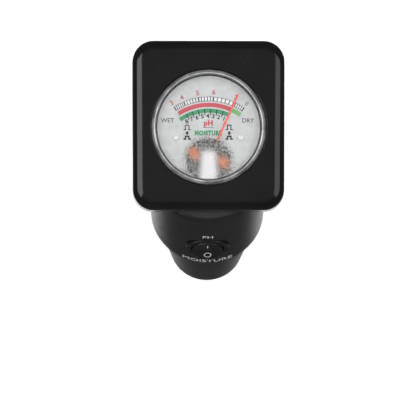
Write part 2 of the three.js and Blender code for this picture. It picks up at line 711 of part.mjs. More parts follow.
buildHeadCasing(head, group);
buildMeterCase(head);
buildMovement(head);
buildBody(group);
buildSwitch(group);
buildBoard(group);
buildElectrodes(group);
buildLeads(group);

export default group;
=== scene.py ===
"""Looks for a soil moisture and pH meter, laid out as a Blender add-on and run as a script.

Shapes are worked out in millimetres in a frame of their own (the head, the body, the switch or the
needle), and make_piece turns them to metres in the frame that the CAD model stands in.
"""

import json
import math

import bmesh
import bpy
from mathutils import Matrix, Vector


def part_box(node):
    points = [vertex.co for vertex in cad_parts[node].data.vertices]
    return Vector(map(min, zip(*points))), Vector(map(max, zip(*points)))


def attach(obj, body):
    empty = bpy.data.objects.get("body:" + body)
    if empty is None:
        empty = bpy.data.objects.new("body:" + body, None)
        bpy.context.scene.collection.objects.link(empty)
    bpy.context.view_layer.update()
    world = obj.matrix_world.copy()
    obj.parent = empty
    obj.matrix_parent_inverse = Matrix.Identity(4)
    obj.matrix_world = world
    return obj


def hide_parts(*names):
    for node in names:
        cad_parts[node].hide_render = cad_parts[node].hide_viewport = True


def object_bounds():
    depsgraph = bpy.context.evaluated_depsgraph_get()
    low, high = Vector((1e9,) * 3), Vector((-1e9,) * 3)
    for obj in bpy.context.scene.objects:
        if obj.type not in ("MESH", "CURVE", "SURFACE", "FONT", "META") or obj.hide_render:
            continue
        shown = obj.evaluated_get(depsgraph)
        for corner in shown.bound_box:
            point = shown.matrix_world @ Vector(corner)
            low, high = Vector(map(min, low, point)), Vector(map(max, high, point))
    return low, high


bl_info = {
    "name": "Soil meter",
    "version": (1, 0, 0),
    "blender": (4, 5, 0),
    "location": "View3D > Sidebar > Soil meter",
    "description": "Builds the casing, dial, switch and electrodes of a soil moisture meter",
    "category": "Object",
}

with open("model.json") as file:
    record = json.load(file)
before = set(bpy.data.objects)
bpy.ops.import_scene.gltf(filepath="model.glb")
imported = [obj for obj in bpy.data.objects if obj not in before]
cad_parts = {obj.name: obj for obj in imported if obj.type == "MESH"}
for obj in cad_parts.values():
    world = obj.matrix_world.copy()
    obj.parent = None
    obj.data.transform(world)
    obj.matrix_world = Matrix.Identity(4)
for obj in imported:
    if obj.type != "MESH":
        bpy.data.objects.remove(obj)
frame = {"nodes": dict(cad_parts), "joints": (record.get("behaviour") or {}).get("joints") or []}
cad_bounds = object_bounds()

MM = 0.001
PIVOT_UP = -12.4        # the needle's pivot, up the face from the face's centre
DIAL_UP = -0.65         # the dial's centre, up the face from the face's centre
PLATE_TOP = -3.6        # the printed plate's face, out of the casing's face
INK = 0.04              # thickness of printed ink
NEEDLE_REST = 24.0      # degrees to the right of upright
ROCKER_PIN = 21.0       # the button's pins, out from the body's axis
ROCKER_REST = 9.0       # degrees that the button is tipped, and that its halves rise by

LOWER_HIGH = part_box("lower_body")[1]
UPPER_LOW, UPPER_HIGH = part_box("upper_body")
TIP_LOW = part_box("electrode_tip")[0]
RIM_Z = UPPER_LOW.z / MM
TOP_Z = UPPER_HIGH.z / MM
BODY_R = UPPER_HIGH.x / MM
LOWER_TOP_R = LOWER_HIGH.x / MM
LOWER_TOP_Z = RIM_Z - 0.3
LOWER_END_R = 16.3


# ---- frames -------------------------------------------------------------------------------------


def joint(name):
    """A joint of the CAD model, by its name."""
    return next(j for j in frame["joints"] if j["name"] == name)


def basis(origin, right, up, out):
    """A frame at origin, in metres, whose own units are millimetres."""
    turn = Matrix((right, up, out)).transposed().to_4x4()
    return Matrix.Translation(origin) @ turn @ Matrix.Scale(MM, 4)


def head_frame():
    """On the face's centre: right, up the face, and out of it."""
    needle = joint("needle_turn")
    out = Vector(needle["axis"]).normalized()
    right = Vector((1, 0, 0))
    up = out.cross(right)
    return basis(Vector(needle["pos_m"]) - up * PIVOT_UP * MM, right, up, out)


def switch_frame():
    """On the body's axis at the button's height, looking out through the button."""
    height = joint("rocker_tilt")["pos_m"][2]
    return basis(Vector((0, 0, height)), Vector((1, 0, 0)), Vector((0, 0, 1)), Vector((0, -1, 0)))


HEAD = head_frame()
BODY = Matrix.Scale(MM, 4)
SWITCH = switch_frame()
SWITCH_Z = SWITCH.translation.z / MM
DIAL = HEAD @ Matrix.Translation((0, DIAL_UP, 0))
PIVOT = HEAD @ Matrix.Translation((0, PIVOT_UP, 0))
NEEDLE = PIVOT @ Matrix.Rotation(math.radians(-NEEDLE_REST), 4, "Z")
ROCKER = SWITCH @ Matrix.Translation((0, 0, ROCKER_PIN))
ROCKER = ROCKER @ Matrix.Rotation(math.radians(-ROCKER_REST), 4, "X")


# ---- settings a user would change ---------------------------------------------------------------


def length(name, default, description):
    return bpy.props.FloatProperty(
        name=name, default=default, description=description, unit="LENGTH", precision=5)


def colour(name, default, description):
    return bpy.props.FloatVectorProperty(
        name=name, default=default, description=description, subtype="COLOR", size=3, min=0, max=1)


def number(name, default, description):
    return bpy.props.FloatProperty(name=name, default=default, description=description)


class MeterSizes(bpy.types.PropertyGroup):
    face_width: length("Face width", 0.054, "Width of the head at the end of its front fillet")
    face_height: length("Face height", 0.0603, "Height of the head at the end of its front fillet")
    face_fillet: length("Face fillet", 0.004, "Radius of the edge round the face")
    corner_radius: length("Corner radius", 0.0075, "Radius of the head's four corners")
    head_flare: length("Head flare", 0.0011, "How far each side leans out towards the back")
    cover_radius: length("Cover radius", 0.0203, "Outer radius of the clear dial cover")
    plate_radius: length("Plate radius", 0.0185, "Radius of the printed dial plate")
    needle_length: length("Needle length", 0.026, "From the pivot to the tip")
    button_radius: length("Button radius", 0.0061, "Radius of the rocker button")


class MeterColours(bpy.types.PropertyGroup):
    casing: colour("Casing", (0.0038, 0.0038, 0.0042), "Gloss moulding of the head")
    body: colour("Body", (0.0085, 0.0085, 0.009), "Satin moulding of the body")
    switch: colour("Switch", (0.006, 0.006, 0.0065), "Rocker and its flange")
    plate: colour("Plate", (0.62, 0.63, 0.625), "Silvered dial plate")
    red_ink: colour("Red ink", (0.56, 0.07, 0.09), "Acid part of the pH band")
    green_ink: colour("Green ink", (0.045, 0.3, 0.13), "Moisture band")
    lime_ink: colour("Lime ink", (0.17, 0.42, 0.13), "Alkaline part of the pH band")
    black_ink: colour("Black ink", (0.02, 0.02, 0.022), "Ticks and digits")
    needle: colour("Needle", (0.93, 0.09, 0.08), "Painted needle")
    legend: colour("Legend", (0.42, 0.42, 0.42), "Printing on the body and the switch")


class StageSettings(bpy.types.PropertyGroup):
    camera_distance: length("Camera distance", 0.4, "From the camera to the face, along its axis")
    lens: number("Lens", 97.29, "Focal length in millimetres on a 36 mm sensor")
    key_light: number("Key light", 2.7, "Radiance of the overhead softbox")
    left_light: number("Left light", 2.7, "Radiance of the left softbox")
    right_light: number("Right light", 1.5, "Radiance of the right softbox")
    ambient: number("Ambient", 0.3, "Radiance of the surroundings")


def sizes():
    return bpy.context.scene.soil_meter_sizes


def colours():
    return bpy.context.scene.soil_meter_colours


# ---- node graphs --------------------------------------------------------------------------------


class Value:
    """A socket that can be used in arithmetic."""

    def __init__(self, graph, socket):
        self.graph = graph
        self.socket = socket

    def math(self, operation, *values):
        inputs = dict(enumerate(values))
        return self.graph.node("ShaderNodeMath", {"operation": operation}, inputs)

    def __add__(self, other):
        return self.math("ADD", self, other)

    def __sub__(self, other):
        return self.math("SUBTRACT", self, other)

    def __mul__(self, other):
        return self.math("MULTIPLY", self, other)

    def __truediv__(self, other):
        return self.math("DIVIDE", self, other)

    def __radd__(self, other):
        return self.math("ADD", other, self)

    def __rsub__(self, other):
        return self.math("SUBTRACT", other, self)

    def __rmul__(self, other):
        return self.math("MULTIPLY", other, self)

    def __rtruediv__(self, other):
        return self.math("DIVIDE", other, self)

    def magnitude(self):
        return self.math("ABSOLUTE", self)

    def root(self):
        return self.math("SQRT", self)

    def at_least(self, other):
        return self.math("MAXIMUM", self, other)

    def above(self, edge, softness):
        """0 below the edge, 1 above it, and smooth across softness."""
        return self.graph.node(
            "ShaderNodeMapRange",
            {"interpolation_type": "SMOOTHSTEP", "clamp": True},
            {"Value": self, "From Min": edge - softness / 2, "From Max": edge + softness / 2})


class Graph:
    """Adds nodes to a tree: settings first, then inputs."""

    def __init__(self, tree):
        self.tree = tree

    def node(self, kind, settings=None, inputs=None, output=0):
        node = self.tree.nodes.new(kind)
        for key, value in (settings or {}).items():
            if key == "stops":
                self.set_stops(node.color_ramp, value)
            else:
                setattr(node, key, value)
        for key, value in (inputs or {}).items():
            self.feed(node.inputs[key], value)
        return Value(self, node.outputs[output]) if node.outputs else node

    def feed(self, socket, value):
        if isinstance(value, Value):
            self.tree.links.new(value.socket, socket)
        elif isinstance(value, (tuple, list)) and socket.type == "RGBA" and len(value) == 3:
            socket.default_value = (*value, 1)
        else:
            socket.default_value = value

    def set_stops(self, ramp, stops):
        """Gives a ramp flat bands, each from its own position to the next."""
        ramp.interpolation = "CONSTANT"
        ramp.elements.remove(ramp.elements[-1])
        ramp.elements[0].color = (*stops[0][1], 1)
        for position, tint in stops[1:]:
            ramp.elements.new(position).color = (*tint, 1)

    def noise(self, vector, scale, detail=2, roughness=0.5):
        inputs = {"Vector": vector, "Scale": scale, "Detail": detail, "Roughness": roughness}
        return self.node("ShaderNodeTexNoise", None, inputs)

    def mix(self, factor, first, second):
        return self.node(
            "ShaderNodeMix", {"data_type": "RGBA"}, {0: factor, 6: first, 7: second}, output=2)

    def place(self, location=(0, 0, 0), rotation=(0, 0, 0), scale=(1, 1, 1)):
        """Object coordinates, moved and turned."""
        at = self.node("ShaderNodeTexCoord", None, None, "Object")
        inputs = {"Vector": at, "Location": location, "Rotation": rotation, "Scale": scale}
        return self.node("ShaderNodeMapping", {"vector_type": "TEXTURE"}, inputs)

    def parts(self, vector):
        """The three numbers of a vector."""
        node = self.tree.nodes.new("ShaderNodeSeparateXYZ")
        self.tree.links.new(vector.socket, node.inputs[0])
        return [Value(self, socket) for socket in node.outputs]

    def bump(self, height, distance):
        return self.node("ShaderNodeBump", None, {"Height": height, "Distance": distance})

    def mix_shaders(self, factor, first, second):
        return self.node("ShaderNodeMixShader", None, {0: factor, 1: first, 2: second})

    def ray(self, kind):
        """1 for one kind of ray, 0 for the others."""
        return self.node("ShaderNodeLightPath", None, None, f"Is {kind} Ray")


def new_finish(name):
    material = bpy.data.materials.new(name)
    material.use_nodes = True
    material.node_tree.nodes.clear()
    return material, Graph(material.node_tree)


def surface(graph, shader):
    graph.node("ShaderNodeOutputMaterial", None, {"Surface": shader})


def principled(graph, **inputs):
    """A Principled shader whose inputs are named in lower case, with underscores."""
    names = {key.replace("_", " ").title(): value for key, value in inputs.items()}
    return graph.node("ShaderNodeBsdfPrincipled", None, names)


def lifted(tint, gain, lift=0.0):
    """A paler or darker tint."""
    return tuple(min(1, gain * c + lift) for c in tint)


def grained(name, noise, tones, relief, edge=None, share=1.0, **inputs):
    """A finish whose tone, relief and other inputs all follow one noise.

    The noise is given as its scale, detail and roughness, and an edge gathers its tone into
    patches. An input given as (base, spread) follows it too.
    """
    material, graph = new_finish(name)
    grain = graph.noise(graph.place(), *noise)
    patches = grain.above(*edge) * share if edge else grain
    varied = {key: grain * value[1] + value[0] if isinstance(value, tuple) else value
              for key, value in inputs.items()}
    surface(graph, principled(
        graph, base_color=graph.mix(patches, *tones), normal=graph.bump(grain, relief), **varied))
    return material


# ---- finishes -----------------------------------------------------------------------------------


def moulded_plastic(name, tint, gloss, grain, grain_depth):
    """Black moulding: fine tool grain, faint flow marks, and dulled patches from handling."""
    material, graph = new_finish(name)
    at = graph.place()
    fine = graph.noise(at, 1 / grain, 3, 0.6)
    flow = graph.noise(at, 90, 2, 0.5)
    handled = graph.noise(at, 160, 4, 0.65).above(0.58, 0.2)
    dust = graph.noise(at, 2600, 2, 0.5).above(0.74, 0.05)
    tone = graph.mix(flow * 0.5 + dust * 0.5, tint, lifted(tint, 1.9, 0.004))
    rough = gloss + handled * 0.05 + (fine - 0.5) * 0.05 + dust * 0.2
    relief = graph.bump(fine + flow * 0.3, grain_depth)
    surface(graph, principled(graph, base_color=tone, roughness=rough, normal=relief))
    return material


def clear_plastic():
    """Polished clear moulding: it shows what is behind it under a clear reflection."""
    material, graph = new_finish("clear_plastic")
    at = graph.place()
    ripple = graph.bump(graph.noise(at, 60, 2, 0.4), 0.000004)
    smear = graph.noise(at, 220, 4, 0.7).above(0.6, 0.25)
    gloss = principled(
        graph, base_color=(0.95, 0.97, 0.98), metallic=1.0, roughness=smear * 0.1 + 0.04,
        normal=ripple)
    through = graph.node("ShaderNodeBsdfTransparent", None, {"Color": (0.985, 0.99, 0.99, 1)})
    slant = graph.node("ShaderNodeLayerWeight", None, {"Blend": 0.5}, "Facing")
    mirror = slant * slant * slant * slant * slant * 0.96 + 0.038
    surface(graph, graph.mix_shaders(mirror, through, gloss))
    return material


def frosted_plastic():
    """Textured moulding over the movement: a blur of its iron, winding and pale bridge.

    Distances are in metres from the needle's pivot, to the right and up the dial.
    """
    material, graph = new_finish("frosted_plastic")
    tilt = HEAD.to_euler().x
    at = graph.place(location=tuple(PIVOT.translation), rotation=(tilt, 0, 0))
    grain = graph.noise(at, 3000, 3, 0.7)
    speckle = graph.noise(at, 1500, 2, 0.7)
    stray = (speckle - 0.5) * 0.004
    x, y, _ = graph.parts(at)
    side = x.magnitude()
    radius = (x * x + y * y).root()

    bridge_side = 1 - (side + stray + y * 0.09).above(0.0026, 0.0032)
    bridge = bridge_side * (1 - (y + stray).above(0.0034, 0.0038))
    across, along = side - 0.0052, y + x * 0.3 - 0.0009
    from_winding = (across * across + along * along).root()
    winding = 1 - (from_winding + stray).above(0.0019, 0.0038)
    iron = graph.mix(speckle.above(0.52, 0.2), (0.05, 0.048, 0.045), (0.36, 0.35, 0.34))
    tone = graph.mix(winding, iron, (0.66, 0.24, 0.13))
    tone = graph.mix(bridge, tone, (0.84, 0.8, 0.82))
    veil = principled(graph, base_color=tone, roughness=0.6)

    scatter = graph.node(
        "ShaderNodeBsdfRefraction", None,
        {"Color": (0.97, 0.97, 0.97), "Roughness": 0.42, "IOR": 1.3,
         "Normal": graph.bump(grain, 0.00004)})
    clear = graph.node("ShaderNodeBsdfTransparent", None, {"Color": (1, 1, 1, 1)})
    lit = 1 - graph.ray("Shadow")
    ragged = radius + (speckle - 0.5) * 0.006
    frosted = graph.mix_shaders((1 - ragged.above(0.0082, 0.0014)) * lit, clear, scatter)
    fading = radius.above(0.0081, 0.004)
    specks = (speckle - fading * 0.24).above(0.43, 0.12) * 0.8
    cover = specks.at_least((bridge * 0.55).at_least(winding * 0.6)) * lit
    surface(graph, graph.mix_shaders(cover, frosted, veil))
    return material


def cover_wall_plastic(name, dim, pale):
    """The cover's own wall seen end on: cloudy and glossy; its grey tone and pale patches are
    painted glow, standing in for the light that the clear wall shows end on.
    """
    return grained(
        name, (180, 4, 0.6), ((dim,) * 3, (pale,) * 3), 0.00003, edge=(0.5, 0.4),
        roughness=(0.08, 0.1), metallic=(0.25, 0.3))


def silvered_plate():
    """Fine silver paint on the dial plate, with its flakes and soft mottling."""
    material, graph = new_finish("silvered_plate")
    at = graph.place()
    tint = tuple(colours().plate)
    flakes = graph.node(
        "ShaderNodeTexVoronoi", {"feature": "F1"}, {"Vector": at, "Scale": 5200})
    glint = graph.noise(at, 5600, 2, 0.6)
    mottle = graph.noise(at, 420, 4, 0.6)
    share = mottle.above(0.5, 0.5) * 0.45 + glint.above(0.5, 0.4) * 0.55
    surface(graph, principled(
        graph, base_color=graph.mix(share, lifted(tint, 0.8), lifted(tint, 1.13)),
        roughness=0.5 - glint * 0.15, metallic=glint * 0.25 + 0.05,
        normal=graph.bump(flakes + glint, 0.000006)))
    return material


def printed_ink(name, tint):
    """Screen-printed ink: slightly uneven cover, matt, with the weave's faint relief."""
    return grained(
        name, (3800, 3, 0.6), (tint, lifted(tint, 1.35, 0.03)), 0.000004, edge=(0.62, 0.25),
        share=0.7, roughness=(0.42, 0.2))


def needle_paint():
    """Thin gloss paint on the needle."""
    tint = tuple(colours().needle)
    return grained(
        "needle_paint", (2400, 3, 0.5), (tint, lifted(tint, 1.2, 0.05)), 0.000004,
        roughness=(0.3, 0.15), coat_weight=0.3)


def metal(name, tint, roughness, scale=(1, 1, 1), grain=2500, depth=0.000004, metallic=1.0):
    """Worked metal: tool lines along the stretched direction, and a little tarnish."""
    material, graph = new_finish(name)
    lines = graph.noise(graph.place(scale=scale), grain, 4, 0.7)
    stain = graph.noise(graph.place(), 320, 4, 0.6).above(0.55, 0.35)
    tone = graph.mix(stain * 0.25, tint, lifted(tint, 0.55))
    rough = roughness + (lines - 0.5) * 0.2 + stain * 0.12
    surface(graph, principled(
        graph, base_color=tone, metallic=metallic, roughness=rough,
        normal=graph.bump(lines, depth)))
    return material


def turned_metal(name, tint, roughness):
    """Metal with the fine rings that a lathe leaves round an upright axis."""
    return metal(name, tint, roughness, (8, 8, 0.12), 1300, 0.00001)


def wound_copper():
    """Enamelled wire: glossy copper, paler where the enamel is thin."""
    material, graph = new_finish("wound_copper")
    at = graph.place()
    tone = graph.mix(
        graph.noise(at, 1800, 3, 0.6), (0.78, 0.25, 0.085), (0.95, 0.45, 0.2))
    surface(graph, principled(
        graph, base_color=tone, metallic=0.75, roughness=0.32, coat_weight=0.6,
        normal=graph.bump(graph.noise(at, 5000, 2, 0.5), 0.000004)))
    return material


def oxide_iron():
    """Soft iron with a pitted dark skin."""
    return grained(
        "oxide_iron", (2600, 5, 0.75), ((0.035, 0.035, 0.037), (0.2, 0.2, 0.205)), 0.00004,
        edge=(0.5, 0.3), metallic=0.55, roughness=(0.5, 0.15))


def white_moulding():
    """Cloudy white plastic."""
    return grained(
        "white_moulding", (700, 4, 0.6), ((0.7, 0.69, 0.69), (0.86, 0.85, 0.85)), 0.00002,
        roughness=(0.35, 0.15))


def matt_rubber(name, tint):
    """Rubber or soft insulation with a faint bloom."""
    material, graph = new_finish(name)
    at = graph.place()
    bloom = graph.noise(at, 900, 4, 0.65)
    surface(graph, principled(
        graph, base_color=graph.mix(bloom, tint, lifted(tint, 2.2, 0.006)),
        roughness=bloom * 0.15 + 0.65, normal=graph.bump(graph.noise(at, 4200, 3, 0.6), 0.00001)))
    return material


def solder_mask():
    """Circuit board: green mask over copper tracks that show as lighter, raised lines."""
    material, graph = new_finish("solder_mask")
    at = graph.place(rotation=(math.pi / 2, 0, 0))
    tracks = graph.node(
        "ShaderNodeTexBrick", None,
        {"Vector": at, "Scale": 90, "Mortar Size": 0.06, "Color1": (0, 0, 0), "Color2": (0, 0, 0),
         "Mortar": (1, 1, 1)}, output=1)
    weave = graph.noise(at, 1500, 2, 0.5)
    tone = graph.mix(tracks, (0.012, 0.12, 0.04), (0.04, 0.26, 0.1))
    surface(graph, principled(
        graph, base_color=tone, roughness=weave * 0.1 + 0.3,
        normal=graph.bump(tracks + weave * 0.2, 0.00003)))
    return material


RESISTOR_LOW = 0.067    # the resistors' lower end, in metres
BAND_SCALE = 166.0      # one over the length of a resistor's body, in metres


def banded_resistor():
    """Tan lacquer with four colour bands across the body."""
    material, graph = new_finish("banded_resistor")
    height = graph.parts(graph.place(location=(0, 0, RESISTOR_LOW)))[2]
    lacquer = (0.55, 0.38, 0.2)
    bands = [(0.12, (0.35, 0.05, 0.02)), (0.32, (0.02, 0.02, 0.02)),
             (0.5, (0.6, 0.2, 0.02)), (0.86, (0.6, 0.42, 0.1))]
    stops = [(0.0, lacquer)]
    for start, tint in bands:
        stops += [(start, tint), (start + 0.08, lacquer)]
    tone = graph.node("ShaderNodeValToRGB", {"stops": stops}, {"Fac": height * BAND_SCALE})
    speckle = graph.noise(graph.place(), 4000, 2, 0.5)
    surface(graph, principled(
        graph, base_color=tone, roughness=speckle * 0.1 + 0.35,
        normal=graph.bump(speckle, 0.000005)))
    return material


FINISHES = {}


def make_finishes():
    c = colours()
    fine_satin = (0.00035, 0.000012)
    FINISHES.update({
        "gloss_black": moulded_plastic("gloss_black", tuple(c.casing), 0.13, 0.0012, 0.00001),
        "satin_black": moulded_plastic("satin_black", tuple(c.body), 0.3, *fine_satin),
        # painted light: the ledge is the body's own black plastic, given a paler tone to stand in
        # for the light on the flat top under the head
        "ledge_painted_light": moulded_plastic("ledge_painted_light", (0.042, 0.042, 0.043), 0.55, *fine_satin),
        "switch_black": moulded_plastic("switch_black", tuple(c.switch), 0.34, 0.0002, 0.00002),
        "clear": clear_plastic(),
        # painted glow: the cover's clear wall, given a grey tone with pale patches
        "rim": cover_wall_plastic("rim", 0.12, 0.42),
        # painted highlight: a near-white bead for the bright line along the cover's top edge
        "painted_highlight_bead": cover_wall_plastic("painted_highlight_bead", 0.4, 0.95),
        "frost": frosted_plastic(),
        "plate": silvered_plate(),
        "red_ink": printed_ink("red_ink", tuple(c.red_ink)),
        "green_ink": printed_ink("green_ink", tuple(c.green_ink)),
        "lime_ink": printed_ink("lime_ink", tuple(c.lime_ink)),
        "black_ink": printed_ink("black_ink", tuple(c.black_ink)),
        "grey_ink": printed_ink("grey_ink", (0.09, 0.09, 0.1)),
        "white_ink": printed_ink("white_ink", (0.8, 0.8, 0.8)),
        "legend_ink": printed_ink("legend_ink", tuple(c.legend)),
        "needle": needle_paint(),
        "copper": wound_copper(),
        "silvered_steel": metal("silvered_steel", (0.86, 0.86, 0.85), 0.4, metallic=0.3),
        "bright_steel": metal("bright_steel", (0.72, 0.72, 0.71), 0.22),
        "turned_steel": turned_metal("turned_steel", (0.6, 0.6, 0.59), 0.3),
        "turned_brass": turned_metal("turned_brass", (0.78, 0.58, 0.3), 0.28),
        "iron": oxide_iron(),
        "white": white_moulding(),
        "rubber": matt_rubber("rubber", (0.012, 0.012, 0.012)),
        "red_lead": matt_rubber("red_lead", (0.35, 0.015, 0.01)),
        "black_lead": matt_rubber("black_lead", (0.015, 0.015, 0.016)),
        "board": solder_mask(),
        "resistor": banded_resistor(),
    })


def finish(name):
    return FINISHES[name]


# ---- shapes, in millimetres ---------------------------------------------------------------------


class Shell:
    """Points and faces, each face with the number of its finish."""

    def __init__(self):
        self.points = []
        self.faces = []
        self.finishes = []

    def add_face(self, indices, number=0):
        self.faces.append(tuple(indices))
        self.finishes.append(number)

    def skin(self, rings, wrap=False, number=0):
        """Joins each ring of points to the next; a ring of one point is a pole."""
        starts = []
        for ring in rings:
            starts.append(len(self.points))
            self.points.extend(Vector(p) for p in ring)
        order = list(range(len(rings)))
        pairs = list(zip(order, order[1:])) + ([(order[-1], 0)] if wrap else [])
        for a, b in pairs:
            self.band(starts[a], len(rings[a]), starts[b], len(rings[b]), number)
        return self

    def band(self, a, count_a, b, count_b, number):
        """Faces between two rings that start at points a and b; a ring of one is a pole."""
        count = max(count_a, count_b)
        for i in range(count):
            j = (i + 1) % count
            if count_a == 1:
                self.add_face((a, b + i, b + j), number)
            elif count_b == 1:
                self.add_face((a + i, a + j, b), number)
            else:
                self.add_face((a + i, a + j, b + j, b + i), number)

    def add(self, points, faces, number=0):
        start = len(self.points)
        self.points.extend(Vector(p) for p in points)
        for face in faces:
            self.add_face([start + i for i in face], number)
        return self

    def block(self, low, high, edge):
        """A box whose corners are cut back by the edge."""
        x, y, z = [(a + b) / 2 for a, b in zip(low, high)]
        half = [(b - a) / 2 for a, b in zip(low, high)]
        rings = [[(x, y, z - half[2])]]
        for inset, level in ((edge, -half[2]), (0, edge - half[2]), (0, half[2] - edge),
                             (edge, half[2])):
            corner = max(edge - inset, 0.01) + edge
            ring = outline(2 * (half[0] - inset), 2 * (half[1] - inset), corner, 4, 1)
            rings.append([(px + x, py + y, z + level) for px, py in ring])
        rings.append([(x, y, z + half[2])])
        return self.skin(rings)

    def close_ends(self, count, number=0):
        """Adds the first and last faces of a skin of two rings that was just made."""
        end = len(self.points)
        self.add_face(range(end - 2 * count, end - count), number)
        self.add_face(range(end - count, end), number)


def circle(radius, z=0.0, count=96):
    turn = 2 * math.pi / count
    return [(radius * math.cos(i * turn), radius * math.sin(i * turn), z) for i in range(count)]


def turned(profile, count=96):
    """Rings of a solid of revolution from (radius, height) points."""
    return [circle(r, z, count) if r > 1e-6 else [(0, 0, z)] for r, z in profile]


def soften(profile, radius, steps=3, closed=False):
    """Rounds the corners of a profile."""
    points = [Vector(p) for p in profile]
    made = []
    for i, corner in enumerate(points):
        if not closed and i in (0, len(points) - 1):
            made.append(tuple(corner))
            continue
        before = points[i - 1] - corner
        after = points[(i + 1) % len(points)] - corner
        cut = min(radius, before.length * 0.45, after.length * 0.45)
        start = corner + before.normalized() * cut
        end = corner + after.normalized() * cut
        for k in range(steps + 1):
            t = k / steps
            made.append(tuple(start.lerp(corner, t).lerp(corner.lerp(end, t), t)))
    return made


def outline(width, height, radius, corner_steps=10, side_steps=6):
    """A rounded rectangle's points, the same number whatever its size."""
    x, y = width / 2 - radius, height / 2 - radius
    centres = [(x, y), (-x, y), (-x, -y), (x, -y)]
    arcs = []
    for k, (cx, cy) in enumerate(centres):
        arcs.append([
            (cx + radius * math.cos(math.pi / 2 * (k + i / corner_steps)),
             cy + radius * math.sin(math.pi / 2 * (k + i / corner_steps)))
            for i in range(corner_steps + 1)
        ])
    made = []
    for k, arc in enumerate(arcs):
        made += arc
        start, end = Vector(arc[-1]), Vector(arcs[(k + 1) % 4][0])
        made += [tuple(start.lerp(end, i / side_steps)) for i in range(1, side_steps)]
    return made


def new_object(name, data):
    item = bpy.data.objects.new(name, data)
    bpy.context.scene.collection.objects.link(item)
    return item


def evaluated_mesh(item):
    """The plain mesh that an object's modifiers or its lettering make."""
    bpy.context.view_layer.update()
    evaluated = item.evaluated_get(bpy.context.evaluated_depsgraph_get())
    return bpy.data.meshes.new_from_object(evaluated)


def mesh_of(shell, name="work"):
    mesh = bpy.data.meshes.new(name)
    mesh.from_pydata([tuple(p) for p in shell.points], [], shell.faces)
    return mesh


def closed_mesh(shell):
    """A shell as a mesh with joined points and outward faces, ready to be cut."""
    mesh = mesh_of(shell)
    work = bmesh.new()
    work.from_mesh(mesh)
    bmesh.ops.remove_doubles(work, verts=work.verts, dist=1e-4)
    bmesh.ops.recalc_face_normals(work, faces=work.faces)
    work.to_mesh(mesh)
    work.free()
    return mesh


def cut(shell, tools, look):
    """Cuts closed tool shells out of a shell, and returns the mesh in its finish."""
    target = new_object("target", closed_mesh(shell))
    made = [new_object("tool", closed_mesh(tool)) for tool in tools]
    for tool in made:
        modifier = target.modifiers.new("cut", "BOOLEAN")
        modifier.operation = "DIFFERENCE"
        modifier.solver = "EXACT"
        modifier.object = tool
    result = evaluated_mesh(target)
    result.materials.append(finish(look))
    for item in [*made, target]:
        bpy.data.objects.remove(item)
    return result


def make_piece(name, shell, finishes, matrix, **options):
    """Turns a shell to an object in place; the options are those of finish_mesh."""
    mesh = mesh_of(shell, name)
    for item in finishes:
        mesh.materials.append(finish(item))
    mesh.polygons.foreach_set("material_index", shell.finishes)
    return finish_mesh(name, mesh, matrix, **options)


def turned_piece(name, profile, look, matrix, count=96, closed=False, **options):
    """A piece that is one solid of revolution."""
    shell = Shell().skin(turned(profile, count), wrap=closed)
    return make_piece(name, shell, [look], matrix, **options)


def finish_mesh(name, mesh, matrix, body="root", slot=None, replaces=(), sharp=34):
    """Turns a mesh in millimetres to an object in place, with outward faces and creased edges."""
    work = bmesh.new()
    work.from_mesh(mesh)
    bmesh.ops.remove_doubles(work, verts=work.verts, dist=1e-4)
    bmesh.ops.dissolve_degenerate(work, edges=work.edges, dist=1e-5)
    bmesh.ops.recalc_face_normals(work, faces=work.faces)
    limit = math.radians(sharp)
    for edge in work.edges:
        edge.smooth = len(edge.link_faces) == 2 and edge.calc_face_angle(0) < limit
    for face in work.faces:
        face.smooth = True
    work.to_mesh(mesh)
    work.free()
    mesh.transform(matrix)
    piece = new_object(name, mesh)
    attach(piece, body)
    if replaces:
        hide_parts(*replaces)
    return piece


# ---- repeated details from node trees -----------------------------------------------------------


def new_tree(name, floats, counts=()):
    """A tree with points and a material as inputs besides the given numbers."""
    kinds = {"Points": "NodeSocketGeometry"}
    kinds.update(dict.fromkeys(floats, "NodeSocketFloat"))
    kinds.update(dict.fromkeys(counts, "NodeSocketInt"))
    kinds["Material"] = "NodeSocketMaterial"
    tree = bpy.data.node_groups.new(name, "GeometryNodeTree")
    for label, kind in kinds.items():
        tree.interface.new_socket(name=label, in_out="INPUT", socket_type=kind)
    tree.interface.new_socket(name="Geometry", in_out="OUTPUT", socket_type="NodeSocketGeometry")
    graph = Graph(tree)
    entry = tree.nodes.new("NodeGroupInput")
    given = {socket.name: Value(graph, socket) for socket in entry.outputs if socket.name}
    return tree, graph, given


def close_tree(graph, geometry, material):
    real = graph.node("GeometryNodeRealizeInstances", None, {"Geometry": geometry})
    done = graph.node("GeometryNodeSetMaterial", None, {"Geometry": real, "Material": material})
    graph.node("NodeGroupOutput", None, {0: done})


def bars_tree():
    """A flat bar on each point, turned by the point's own angle."""
    tree, graph, given = new_tree("marks_on_points", ("Width", "Length", "Height"))
    size = graph.node(
        "ShaderNodeCombineXYZ", None,
        {"X": given["Width"], "Y": given["Length"], "Z": given["Height"]})
    bar = graph.node("GeometryNodeMeshCube", None, {"Size": size})
    angle = graph.node("GeometryNodeInputNamedAttribute", {"data_type": "FLOAT"}, {"Name": "angle"})
    turn = graph.node("ShaderNodeCombineXYZ", None, {"Z": angle})
    placed = graph.node(
        "GeometryNodeInstanceOnPoints", None,
        {"Points": given["Points"], "Instance": bar, "Rotation": turn})
    close_tree(graph, placed, given["Material"])
    return tree


